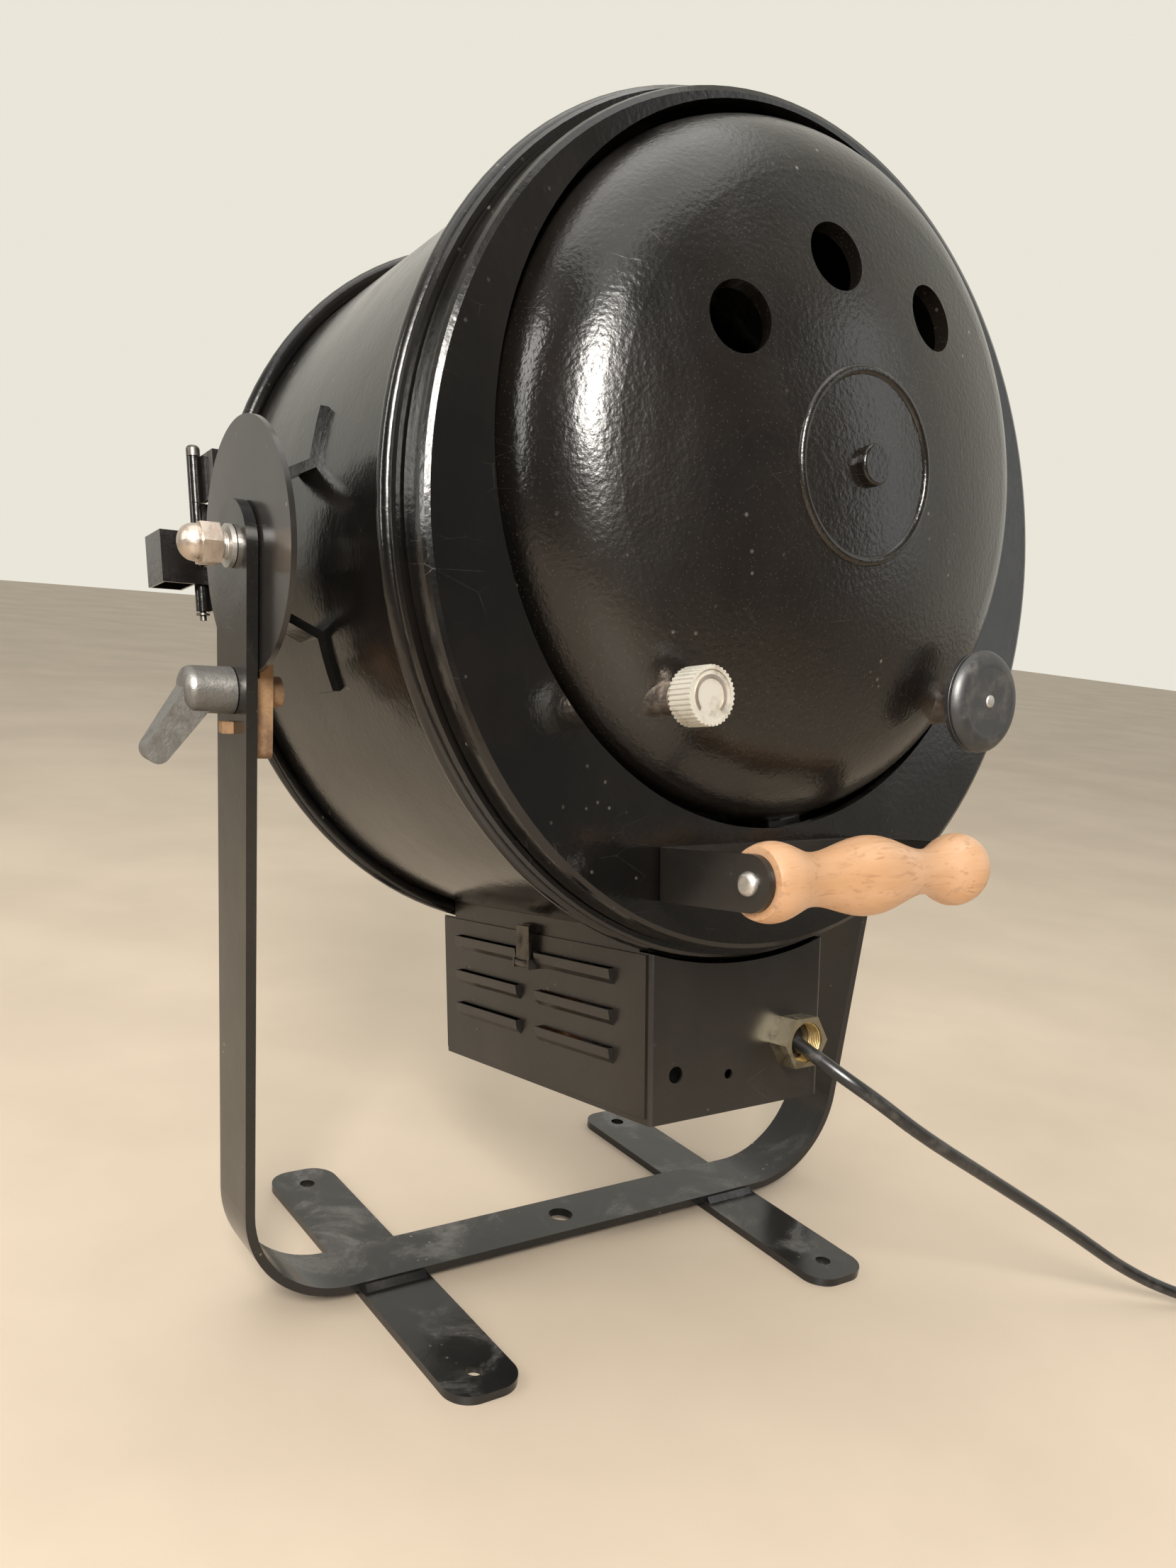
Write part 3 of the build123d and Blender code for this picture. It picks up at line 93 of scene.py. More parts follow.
class ProjectorCord(bpy.types.PropertyGroup):
    """Facts of the mains lead."""

    diameter: bpy.props.FloatProperty(
        name="Diameter", description="Outside diameter of the lead", default=0.0085,
        min=0.002, max=0.02, subtype="DISTANCE", unit="LENGTH", precision=4)
    turns: bpy.props.IntProperty(
        name="Turns", description="Full turns in the stored coil", default=4, min=1, max=10)
    coil_radius: bpy.props.FloatProperty(
        name="Coil radius", description="Radius of the outermost turn", default=0.0555,
        min=0.03, max=0.2, subtype="DISTANCE", unit="LENGTH", precision=4)


class ProjectorStage(bpy.types.PropertyGroup):
    """Floor, light and camera."""

    azimuth: bpy.props.FloatProperty(
        name="Azimuth", description="Direction that the camera stands in", default=radians(144.4),
        subtype="ANGLE", unit="ROTATION")
    elevation: bpy.props.FloatProperty(
        name="Elevation", description="Height angle of the camera", default=radians(20.3),
        subtype="ANGLE", unit="ROTATION")
    roll: bpy.props.FloatProperty(
        name="Roll", description="Turn of the camera about its own line of sight",
        default=radians(5.7), subtype="ANGLE", unit="ROTATION")
    place: bpy.props.FloatVectorProperty(
        name="Place", description="Where the camera stands", default=(0.4732, 0.6428, 0.4521),
        size=3, subtype="TRANSLATION", unit="LENGTH")
    lens: bpy.props.FloatProperty(
        name="Lens", description="Focal length in millimetres", default=27.7, min=10, max=200)
    shift: bpy.props.FloatVectorProperty(
        name="Shift", description="Sideways and upward shift of the picture", default=(0.0149, 0.158),
        size=2)


# ---------------------------------------------------------------- node helpers
class Wiring:
    """Small helper that adds and links shader nodes."""

    def __init__(self, name):
        self.material = bpy.data.materials.new(name)
        self.material.use_nodes = True
        self.tree = self.material.node_tree
        self.shader = self.tree.nodes["Principled BSDF"]
        coordinates = self.add("ShaderNodeTexCoord")
        self.place = coordinates.outputs["Object"]

    def add(self, kind, **settings):
        """Adds a node and sets its properties."""
        node = self.tree.nodes.new(kind)
        for key, value in settings.items():
            setattr(node, key, value)
        return node

    def link(self, source, target):
        """Links an output, or sets a plain value."""
        if isinstance(source, (int, float, tuple)):
            target.default_value = source
        else:
            self.tree.links.new(source, target)

    def noise(self, scale, detail=3.0, roughness=0.55, stretch=(1, 1, 1), distortion=0.0):
        """Noise in 0 to 1, in repeats per metre."""
        mapping = self.add("ShaderNodeMapping")
        mapping.inputs["Scale"].default_value = stretch
        self.link(self.place, mapping.inputs["Vector"])
        node = self.add("ShaderNodeTexNoise")
        node.inputs["Scale"].default_value = scale
        node.inputs["Detail"].default_value = detail
        node.inputs["Roughness"].default_value = roughness
        node.inputs["Distortion"].default_value = distortion
        self.link(mapping.outputs[0], node.inputs["Vector"])
        return node.outputs["Fac"]

    def cells(self, scale, feature="F1", stretch=(1, 1, 1)):
        """Voronoi distance, in cells per metre."""
        mapping = self.add("ShaderNodeMapping")
        mapping.inputs["Scale"].default_value = stretch
        self.link(self.place, mapping.inputs["Vector"])
        node = self.add("ShaderNodeTexVoronoi", feature=feature)
        node.inputs["Scale"].default_value = scale
        self.link(mapping.outputs[0], node.inputs["Vector"])
        return node.outputs["Distance"]

    def ramp(self, value, low, high, out_low=0.0, out_high=1.0):
        """Smooth step between two values."""
        node = self.add("ShaderNodeMapRange", interpolation_type="SMOOTHSTEP")
        self.link(value, node.inputs["Value"])
        node.inputs["From Min"].default_value = low
        node.inputs["From Max"].default_value = high
        node.inputs["To Min"].default_value = out_low
        node.inputs["To Max"].default_value = out_high
        return node.outputs["Result"]

    def math(self, operation, first, second=0.0):
        """One arithmetic step, kept in 0 to 1."""
        node = self.add("ShaderNodeMath", operation=operation, use_clamp=True)
        self.link(first, node.inputs[0])
        self.link(second, node.inputs[1])
        return node.outputs[0]

    def mix(self, factor, first, second):
        """Mixes two colours."""
        node = self.add("ShaderNodeMix", data_type="RGBA")
        self.link(factor, node.inputs["Factor"])
        for value, socket in ((first, node.inputs[6]), (second, node.inputs[7])):
            self.link(value + (1,) if isinstance(value, tuple) else value, socket)
        return node.outputs[2]

    def blend(self, factor, first, second):
        """Mixes two numbers."""
        node = self.add("ShaderNodeMix", data_type="FLOAT")
        self.link(factor, node.inputs["Factor"])
        self.link(first, node.inputs[2])
        self.link(second, node.inputs[3])
        return node.outputs[0]

    def facing_up(self, low=0.35, high=0.95):
        """1 on faces that look up."""
        geometry = self.add("ShaderNodeNewGeometry")
        parts = self.add("ShaderNodeSeparateXYZ")
        self.link(geometry.outputs["Normal"], parts.inputs[0])
        return self.ramp(parts.outputs["Z"], low, high)

    def bump(self, height, distance, normal=None):
        """Bump from a height in 0 to 1, depth in metres."""
        node = self.add("ShaderNodeBump")
        node.inputs["Distance"].default_value = distance
        self.link(height, node.inputs["Height"])
        if normal is not None:
            self.link(normal, node.inputs["Normal"])
        return node.outputs[0]

    def finish(self, colour, roughness, metallic=0.0, normal=None):
        """Feeds the shader."""
        self.link(colour + (1,) if isinstance(colour, tuple) else colour, self.shader.inputs["Base Color"])
        self.link(roughness, self.shader.inputs["Roughness"])
        self.link(metallic, self.shader.inputs["Metallic"])
        if normal is not None:
            self.link(normal, self.shader.inputs["Normal"])
        return self.material


# ---------------------------------------------------------------- finishes
SCRATCH_COLOUR = (0.11, 0.09, 0.075)
PRIMER = (0.34, 0.29, 0.25)
GRAIN_COLOUR = (0.07, 0.058, 0.048)
DUST = (0.34, 0.33, 0.31)
FLOOR_DUST = (0.40, 0.39, 0.38)


def paint(name, colour, warm, rough, settings, peel_scale=260.0, peel=1.0, dust=0.5, chips=0.4,
          dust_colour=DUST, speckle=0.0, film=0.015, drift_low=0.42):
    """Old black stove paint: orange peel, scratches, chips to brown primer, dust on top."""
    wiring = Wiring(name)
    clouds = wiring.ramp(wiring.noise(scale=9, detail=4), low=0.35, high=0.7)
    base = wiring.mix(clouds, colour, warm)

    hair = wiring.cells(scale=34, feature="DISTANCE_TO_EDGE", stretch=(1.0, 0.35, 2.4))
    lines = wiring.ramp(hair, low=0.0, high=0.012, out_low=1.0, out_high=0.0)
    broken = wiring.ramp(wiring.noise(scale=26, detail=5, roughness=0.6), low=0.52, high=0.66)
    scratch = wiring.math("MULTIPLY", wiring.math("MULTIPLY", lines, broken), settings.scratches)
    base = wiring.mix(scratch, base, SCRATCH_COLOUR)

    spots = wiring.ramp(wiring.cells(scale=115), low=0.0, high=0.16, out_low=1.0, out_high=0.0)
    patch = wiring.ramp(wiring.noise(scale=14, detail=6, roughness=0.7), low=0.53, high=0.64)
    chip = wiring.math("MULTIPLY", wiring.math("MULTIPLY", spots, patch), chips)
    base = wiring.mix(chip, base, PRIMER)
    if speckle:
        grains = wiring.ramp(wiring.cells(scale=520), low=0.0, high=0.25, out_low=1.0, out_high=0.0)
        base = wiring.mix(wiring.math("MULTIPLY", grains, speckle), base, GRAIN_COLOUR)

    up = wiring.facing_up()
    drifts = wiring.noise(scale=17, detail=7, roughness=0.65, distortion=0.6)
    drift = wiring.ramp(drifts, low=drift_low, high=drift_low + 0.24)
    fine = wiring.ramp(wiring.noise(scale=240, detail=4, roughness=0.7), 0.3, 0.7, out_low=0.55)
    layer = wiring.math("MULTIPLY", wiring.math("MULTIPLY", up, drift), fine)
    layer = wiring.math("MULTIPLY", layer, dust * settings.dust)
    veil = wiring.ramp(wiring.noise(scale=5, detail=6, roughness=0.7), low=0.35, high=0.75, out_high=film)
    base = wiring.mix(wiring.math("ADD", layer, veil), base, dust_colour)

    streaks = wiring.noise(scale=12, detail=6, roughness=0.65, stretch=(1, 1, 0.5))
    smear = wiring.ramp(streaks, low=0.3, high=0.75, out_low=rough, out_high=min(1.0, rough + 0.12))
    roughness = wiring.blend(wiring.math("ADD", layer, scratch), smear, 0.85)
    relief = wiring.bump(wiring.noise(peel_scale, detail=2, roughness=0.5), settings.peel * peel)
    relief = wiring.bump(wiring.noise(scale=16, detail=2), 0.0006, relief)
    damage = wiring.math("SUBTRACT", 1.0, wiring.math("ADD", chip, scratch))
    relief = wiring.bump(damage, 0.00012, relief)
    return wiring.finish(base, roughness, normal=relief)


def metal(name, colour, stain, rough, grain=900.0, stain_low=0.5, metallic=1.0, pits=0.00004,
          stretch=(1, 1, 1)):
    """Bare or plated metal with tarnish, fine grain and small pits."""
    wiring = Wiring(name)
    tarnish = wiring.ramp(wiring.noise(scale=70, detail=6, roughness=0.65), stain_low, stain_low + 0.22)
    spots = wiring.ramp(wiring.cells(scale=420), low=0.05, high=0.3, out_low=1.0, out_high=0.0)
    mark = wiring.math("MAXIMUM", tarnish, wiring.math("MULTIPLY", spots, 0.45))
    base = wiring.mix(mark, colour, stain)
    clean = wiring.ramp(wiring.noise(scale=150, detail=4, roughness=0.6), low=0.3, high=0.7,
                        out_low=rough, out_high=rough + 0.14)
    roughness = wiring.blend(mark, clean, min(1.0, rough + 0.38))
    relief = wiring.bump(wiring.noise(grain, detail=3, roughness=0.6, stretch=stretch), pits)
    relief = wiring.bump(wiring.math("SUBTRACT", 1.0, mark), 0.00006, relief)
    shine = wiring.blend(mark, metallic, metallic * 0.55)
    return wiring.finish(base, roughness, shine, relief)


def plastic(name, colour, soiled, rough, grain=600.0, depth=0.00005):
    """Moulded plastic or rubber with fine texture and grime."""
    wiring = Wiring(name)
    grime = wiring.ramp(wiring.noise(scale=85, detail=6, roughness=0.7), low=0.48, high=0.74)
    base = wiring.mix(grime, colour, soiled)
    roughness = wiring.blend(grime, rough, min(1.0, rough + 0.25))
    relief = wiring.bump(wiring.noise(grain, detail=3, roughness=0.6), depth)
    return wiring.finish(base, roughness, normal=relief)


def beech(name):
    """Turned beech: fine growth lines along the handle, short dark flecks, hand grime."""
    pale, ruddy, line_brown = (0.70, 0.43, 0.26), (0.60, 0.34, 0.18), (0.36, 0.17, 0.07)
    fleck_brown, hand_grime = (0.30, 0.15, 0.08), (0.16, 0.10, 0.07)
    wiring = Wiring(name)
    rings = wiring.noise(scale=55, detail=5, roughness=0.6, stretch=(0.16, 1, 1), distortion=0.4)
    lines = wiring.noise(scale=420, detail=4, roughness=0.6, stretch=(0.05, 1, 1))
    base = wiring.mix(wiring.ramp(rings, low=0.32, high=0.68), pale, ruddy)
    base = wiring.mix(wiring.ramp(lines, low=0.52, high=0.7, out_high=0.5), base, line_brown)
    dots = wiring.cells(scale=260, stretch=(0.18, 1, 1))
    fleck = wiring.ramp(dots, low=0.02, high=0.16, out_low=0.5, out_high=0.0)
    base = wiring.mix(fleck, base, fleck_brown)
    grime = wiring.ramp(wiring.noise(scale=38, detail=6, roughness=0.72), low=0.56, high=0.74, out_high=0.75)
    base = wiring.mix(grime, base, hand_grime)
    worn = wiring.ramp(lines, low=0.3, high=0.7, out_low=0.3, out_high=0.42)
    roughness = wiring.blend(grime, worn, 0.6)
    relief = wiring.bump(wiring.noise(scale=520, detail=3, roughness=0.6, stretch=(0.06, 1, 1)), 0.00006)
    relief = wiring.bump(wiring.noise(scale=60, detail=3, roughness=0.6), 0.0002, relief)
    return wiring.finish(base, roughness, normal=relief)


def rusty(name):
    """Rusted steel: orange and brown bloom over dark metal."""
    brown, ochre, scale_dark = (0.17, 0.095, 0.05), (0.34, 0.20, 0.095), (0.07, 0.045, 0.03)
    wiring = Wiring(name)
    bloom = wiring.ramp(wiring.noise(scale=60, detail=7, roughness=0.7), low=0.36, high=0.62)
    base = wiring.mix(bloom, brown, ochre)
    spots = wiring.ramp(wiring.cells(scale=500), low=0.05, high=0.3, out_low=0.5, out_high=0.0)
    base = wiring.mix(spots, base, scale_dark)
    relief = wiring.bump(wiring.noise(scale=300, detail=6, roughness=0.7), 0.00025)
    roughness = wiring.ramp(bloom, low=0.0, high=1.0, out_low=0.5, out_high=0.85)
    return wiring.finish(base, roughness, 0.25, relief)


def silvered(name):
    """Anodised reflector with a soft haze."""
    bright, hazed = (0.86, 0.87, 0.88), (0.74, 0.73, 0.70)
    wiring = Wiring(name)
    haze = wiring.ramp(wiring.noise(scale=22, detail=5, roughness=0.6), low=0.35, high=0.7)
    relief = wiring.bump(wiring.noise(scale=120, detail=2), 0.00003)
    roughness = wiring.ramp(haze, low=0.0, high=1.0, out_low=0.06, out_high=0.16)
    return wiring.finish(wiring.mix(haze, bright, hazed), roughness, 1.0, relief)


def clear_glass(name):
    """Lamp glass with a thin film of dust."""
    clear, dusty = (0.95, 0.97, 0.98), (0.8, 0.8, 0.78)
    wiring = Wiring(name)
    wiring.shader.inputs["Transmission Weight"].default_value = 0.9
    wiring.shader.inputs["IOR"].default_value = 1.48
    film = wiring.ramp(wiring.noise(scale=90, detail=4), low=0.4, high=0.8, out_low=0.02, out_high=0.12)
    return wiring.finish(wiring.mix(film, clear, dusty), film)


def black_paints(settings):
    """The painted finishes: base colour, warmer cloud colour and roughness, then how worn it is."""
    return {
        "gloss_black": paint(
            "gloss_black", (0.0045, 0.0042, 0.004), (0.011, 0.0085, 0.007), 0.12, settings,
            peel_scale=320.0, peel=2.0, dust=0.22, chips=0.8, film=0.008),
        "dome_black": paint(
            "dome_black", (0.0055, 0.0048, 0.0042), (0.012, 0.0092, 0.0072), 0.17, settings,
            peel_scale=400.0, peel=4.6, dust=0.10, chips=0.9, speckle=0.75, film=0.008),
        "box_black": paint(
            "box_black", (0.010, 0.0085, 0.0075), (0.020, 0.016, 0.013), 0.26, settings,
            peel_scale=420.0, peel=1.2, dust=0.2, chips=0.6, speckle=0.3),
        "stand_black": paint(
            "stand_black", (0.009, 0.009, 0.009), (0.016, 0.014, 0.013), 0.15, settings,
            dust=0.5, chips=0.9, dust_colour=FLOOR_DUST, speckle=0.25, drift_low=0.5),
        "disc_grey": paint(
            "disc_grey", (0.016, 0.015, 0.015), (0.036, 0.032, 0.028), 0.16, settings,
            peel_scale=500.0, peel=0.6, dust=0.4, chips=0.8),
    }


def bare_metals():
    """The metals: clean colour, stained colour and roughness."""
    return {
        "nickel": metal("nickel", (0.50, 0.43, 0.37), (0.24, 0.17, 0.12), 0.28),
        "aged_nickel": metal(
            "aged_nickel", (0.11, 0.10, 0.09), (0.05, 0.04, 0.032), 0.3, stain_low=0.46),
        "aged_brass": metal("aged_brass", (0.30, 0.26, 0.18), (0.12, 0.095, 0.065), 0.3, stain_low=0.48),
        "steel": metal("steel", (0.48, 0.46, 0.43), (0.16, 0.12, 0.09), 0.34, stain_low=0.48),
        "cast_grey": metal(
            "cast_grey", (0.17, 0.165, 0.155), (0.075, 0.068, 0.058), 0.42,
            grain=420.0, metallic=0.7, pits=0.00025),
        "brass": metal("brass", (0.72, 0.55, 0.26), (0.30, 0.20, 0.09), 0.3),
        "copper": metal(
            "copper", (0.42, 0.17, 0.07), (0.16, 0.07, 0.04), 0.35,
            grain=700.0, metallic=0.7, pits=0.0002, stretch=(0.1, 0.1, 1)),
        "core": metal(
            "core", (0.26, 0.26, 0.27), (0.12, 0.10, 0.08), 0.5,
            metallic=0.8, pits=0.0002, stretch=(3, 0.1, 0.1)),
        "rust": rusty("rust"),
        "mirror": silvered("mirror"),
    }


def moulded_and_other():
    """Plastics, ceramic, rubber, wood and glass."""
    return {
        "black_plastic": plastic("black_plastic", (0.030, 0.030, 0.032), (0.085, 0.078, 0.07), 0.42),
        "pale_plastic": plastic("pale_plastic", (0.60, 0.58, 0.52), (0.36, 0.32, 0.26), 0.36),
        "ceramic": plastic("ceramic", (0.72, 0.69, 0.62), (0.5, 0.45, 0.38), 0.3),
        "cable": plastic(
            "cable", (0.014, 0.014, 0.015), (0.07, 0.064, 0.058), 0.33, grain=900.0, depth=0.00002),
        "wood": beech("wood"),
        "glass": clear_glass("glass"),
    }


def finishes(settings):
    """Every finish by name."""
    return {**black_paints(settings), **bare_metals(), **moulded_and_other()}


OTHER_FINISH = {
    "latch_lever": "aged_nickel", "latch_base": "aged_nickel", "hinge_pin": "aged_nickel",
    "cable_gland": "aged_brass",
}


def dress(thing, material):
    """Gives an object one material."""
    thing.data.materials.clear()
    thing.data.materials.append(material)


def smooth(thing):
    """Shades a curved piece smoothly."""
    for face in thing.data.polygons:
        face.use_smooth = True


def add_mesh(name, vertices, faces, material, body, soft=True):
    """A mesh piece that rides on a body."""
    mesh = bpy.data.meshes.new(name)
    mesh.from_pydata(vertices, [], faces)
    mesh.update()
    thing = bpy.data.objects.new(name, mesh)
    bpy.context.scene.collection.objects.link(thing)
    dress(thing, material)
    if soft:
        smooth(thing)
    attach(thing, body)
    return thing


# ---------------------------------------------------------------- operators
class OBJECT_OT_projector_finishes(bpy.types.Operator):
    """Gives every CAD node its finish"""

    bl_idname = "object.projector_finishes"
    bl_label = "Dress CAD nodes"

    def execute(self, context):
        FINISH.update(finishes(context.scene.projector_finish))
        slots = {part["node"]: part["material_slot"] for part in frame["record"]["subparts"]}
        for name, thing in frame["nodes"].items():
            dress(thing, FINISH[OTHER_FINISH.get(name, slots[name])])
        return {"FINISHED"}


ROUTE = (
    (-0.0415, 0.1615, 0.2063),
    (-0.047, 0.195, 0.197),
    (-0.0695, 0.212, 0.181),
    (-0.103, 0.223, 0.157),
    (-0.173, 0.233, 0.116),
    (-0.245, 0.247, 0.073),
    (-0.315, 0.267, 0.027),
    (-0.370, 0.292, 0.0044),
    (-0.407, 0.316, 0.0044),
)
LIE = 0.0044  # height of the lead's middle where it lies on the floor
COIL_CENTRE = Vector((-0.405, 0.378))
COIL_ENTRY = radians(237.4)
COIL_EXIT = radians(180)
POINTS_PER_TURN = 16
TURN_GAP = 1.012  # distance between turns side by side, in diameters
INWARD_TURNS = 2.0
CLIMB_TURNS = 0.35
UPPER_SPREAD = 0.85  # how fast the upper layer widens, against the lower one
SLEEVE_END = Vector((-0.455, 0.410, 0.0186))
SLEEVE_SAG = Vector((0, 0, -0.0012))
PLUG_ENTRY = Vector((0, 0.004, 0))


def coil_points(settings):
    """Control points of the stored coil: two layers, in and then out again, clockwise from above."""
    pitch = settings.diameter * TURN_GAP
    sweep = COIL_ENTRY - COIL_EXIT + 2 * pi * settings.turns
    count = round(sweep / (2 * pi) * POINTS_PER_TURN)
    points = []
    for index in range(1, count + 1):
        turn = sweep / (2 * pi) * index / count
        angle = COIL_ENTRY - 2 * pi * turn
        rise = min(1.0, max(0.0, (turn - INWARD_TURNS) / CLIMB_TURNS))
        radius = settings.coil_radius - pitch * min(turn, INWARD_TURNS)
        radius += pitch * max(0.0, turn - INWARD_TURNS - CLIMB_TURNS) * UPPER_SPREAD
        x = COIL_CENTRE.x + radius * cos(angle)
        y = COIL_CENTRE.y + radius * sin(angle)
        points.append(Vector((x, y, LIE + settings.diameter * rise * rise * (3 - 2 * rise))))
    return points


class OBJECT_OT_projector_cord(bpy.types.Operator):
    """Lays the mains lead from the gland to its plug"""

    bl_idname = "object.projector_cord"
    bl_label = "Lay mains lead"

    def execute(self, context):
        settings = context.scene.projector_cord
        points = [Vector(point) for point in ROUTE] + coil_points(settings)
        points.append(points[-1].lerp(SLEEVE_END, 0.5) + SLEEVE_SAG)
        points.append(SLEEVE_END)
        points.append(SLEEVE_END + PLUG_ENTRY)
        curve = bpy.data.curves.new("mains_lead", "CURVE")
        curve.dimensions = "3D"
        spline = curve.splines.new("NURBS")
        spline.points.add(len(points) - 1)
        for slot, point in zip(spline.points, points):
            slot.co = (*point, 1)
        spline.order_u = 3
        spline.use_endpoint_u = True
        spline.resolution_u = 6
        curve.bevel_depth = settings.diameter / 2
        curve.bevel_resolution = 4
        curve.use_fill_caps = True
        lead = bpy.data.objects.new("mains_lead", curve)
        context.scene.collection.objects.link(lead)
        curve.materials.append(FINISH["cable"])
        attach(lead, "head")
        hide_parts("mains_cable", "cable_coil")
        return {"FINISHED"}


THREAD_INPUTS = (
    # name, kind, default
    ("Radius", "Float", 0.006),
    ("Wire", "Float", 0.0004),
    ("Pitch", "Float", 0.00175),
    ("Crests", "Int", 3),
)


def thread_group():
    """Node group: a stack of rings, the crests of a thread, along Z from the origin."""
    tree = bpy.data.node_groups.new("thread_crests", "GeometryNodeTree")
    face = tree.interface
    face.new_socket("Geometry", in_out="OUTPUT", socket_type="NodeSocketGeometry")
    sockets = {}
    for name, kind, value in THREAD_INPUTS:
        socket = face.new_socket(name, in_out="INPUT", socket_type=f"NodeSocket{kind}")
        socket.default_value = value
        sockets[name] = socket.identifier
    socket = face.new_socket("Material", in_out="INPUT", socket_type="NodeSocketMaterial")
    sockets["Material"] = socket.identifier
    nodes, link = tree.nodes, tree.links.new
    given, result = nodes.new("NodeGroupInput"), nodes.new("NodeGroupOutput")
    ring = nodes.new("GeometryNodeCurvePrimitiveCircle")
    ring.inputs["Resolution"].default_value = 40
    profile = nodes.new("GeometryNodeCurvePrimitiveCircle")
    profile.inputs["Resolution"].default_value = 6
    link(given.outputs["Radius"], ring.inputs["Radius"])
    link(given.outputs["Wire"], profile.inputs["Radius"])
    tube = nodes.new("GeometryNodeCurveToMesh")
    link(ring.outputs[0], tube.inputs["Curve"])
    link(profile.outputs[0], tube.inputs["Profile Curve"])
    step = nodes.new("ShaderNodeCombineXYZ")
    link(given.outputs["Pitch"], step.inputs["Z"])
    row = nodes.new("GeometryNodeMeshLine")
    link(given.outputs["Crests"], row.inputs["Count"])
    link(step.outputs[0], row.inputs["Offset"])
    placed = nodes.new("GeometryNodeInstanceOnPoints")
    link(row.outputs[0], placed.inputs["Points"])
    link(tube.outputs[0], placed.inputs["Instance"])
    real = nodes.new("GeometryNodeRealizeInstances")
    link(placed.outputs[0], real.inputs[0])
    painted = nodes.new("GeometryNodeSetMaterial")
    link(real.outputs[0], painted.inputs["Geometry"])
    link(given.outputs["Material"], painted.inputs["Material"])
    link(painted.outputs[0], result.inputs[0])
    return tree, sockets


BOLT_END = 0.2532
THREADS = (
    # name, place, direction, radius, wire, pitch, crests, finish, body
    ("pivot_thread_left", PIVOT + ACROSS * BOLT_END, ACROSS, 0.006, 0.00045, 0.0012, 4, "steel", "head"),
    ("pivot_thread_right", PIVOT - ACROSS * BOLT_END, -ACROSS, 0.006, 0.00045, 0.0012, 4, "steel", "head"),
    ("gland_thread", head(GLAND_X, 0.1178, GLAND_V), AXIS, 0.0122, 0.00055, 0.0014, 7, "brass", "head"),
    ("screw_thread", head(FOCUS_X, 0.1015, FOCUS_V), AXIS, 0.004, 0.0003, 0.002, 7, "steel", "focus"),
)


def thread(group, name, place, direction, radius, wire, pitch, crests, finish, body):
    """A plain mesh of thread crests, from a place along a direction."""
    tree, sockets = group
    holder = bpy.data.objects.new(name, bpy.data.meshes.new(name))
    bpy.context.scene.collection.objects.link(holder)
    modifier = holder.modifiers.new("crests", "NODES")
    modifier.node_group = tree
    values = {"Radius": radius, "Wire": wire, "Pitch": pitch, "Crests": crests, "Material": FINISH[finish]}
    for key, value in values.items():
        modifier[sockets[key]] = value
    bpy.context.view_layer.update()
    mesh = bpy.data.meshes.new_from_object(holder.evaluated_get(bpy.context.evaluated_depsgraph_get()))
    holder.modifiers.clear()
    holder.data = mesh
    mesh.transform(Matrix.Translation(place) @ direction.to_track_quat("Z", "Y").to_matrix().to_4x4())
    mesh.update()
    smooth(holder)
    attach(holder, body)


class OBJECT_OT_projector_threads(bpy.types.Operator):
    """Adds thread crests to the pivot bolts, the gland and the lead screw"""

    bl_idname = "object.projector_threads"
    bl_label = "Add threads"

    def execute(self, context):
        group = thread_group()
        for row in THREADS:
            thread(group, *row)
        return {"FINISHED"}


def turned(name, profile, place, direction, finish, body, segments=48):
    """A closed turned piece: profile points are (radius, height) from the axis out and back."""
    matrix = Matrix.Translation(place) @ direction.to_track_quat("Z", "Y").to_matrix().to_4x4()
    vertices, faces = [], []
    for radius, height in profile:
        for step in range(segments):
            angle = 2 * pi * step / segments
            vertices.append(matrix @ Vector((radius * cos(angle), radius * sin(angle), height)))
    for level in range(len(profile) - 1):
        for step in range(segments):
            low, high = level * segments, (level + 1) * segments
            following = (step + 1) % segments
            faces.append((low + step, low + following, high + following, high + step))
    faces.append(tuple(reversed(range(segments))))
    faces.append(tuple(range((len(profile) - 1) * segments, len(profile) * segments)))
    recalculate(add_mesh(name, vertices, faces, FINISH[finish], body))


SCREW_PROFILE = ((0.0034, -0.001), (0.0034, 0.0002), (0.0028, 0.0007), (0.0006, 0.0009))
SEAM_PROFILE = ((0.0268, -0.0068), (0.02725, -0.0066), (0.02725, -0.0063), (0.0268, -0.0061))
SCALE_SECTION = ((0.0078, 0.0), (0.0078, 0.0006), (0.0094, 0.0006), (0.0094, 0.0))  # radius, height
SCALE_START, SCALE_SWEEP = -45.0, 270.0
SCALE_STEPS = 40


class OBJECT_OT_projector_trim(bpy.types.Operator):
    """Adds the focus knob's screw and moulding seam, and the trim knob's scale"""

    bl_idname = "object.projector_trim"
    bl_label = "Add small trim"

    def execute(self, context):
        knob = head(FOCUS_X, KNOB_FACE, FOCUS_V)
        turned("focus_screw", SCREW_PROFILE, knob, AXIS, "steel", "focus", 32)
        turned("focus_seam", SEAM_PROFILE, knob, AXIS, "black_plastic", "focus", 72)
        dial = head(TRIM_X, KNOB_FACE, TRIM_V)
        corners = len(SCALE_SECTION)
        vertices, faces = [], []
        for index in range(SCALE_STEPS + 1):
            angle = radians(SCALE_START + SCALE_SWEEP * index / SCALE_STEPS)
            outwards = ACROSS * cos(angle) + UP * sin(angle)
            vertices += [dial + outwards * radius + AXIS * height for radius, height in SCALE_SECTION]
        for index in range(SCALE_STEPS):
            for side in range(corners):
                first, second = index * corners + side, index * corners + (side + 1) % corners
                faces.append((first, second, second + corners, first + corners))
        last = SCALE_STEPS * corners
        faces += [tuple(reversed(range(corners))), tuple(range(last, last + corners))]
        recalculate(add_mesh("trim_scale", vertices, faces, FINISH["nickel"], "trim", soft=False))
        return {"FINISHED"}


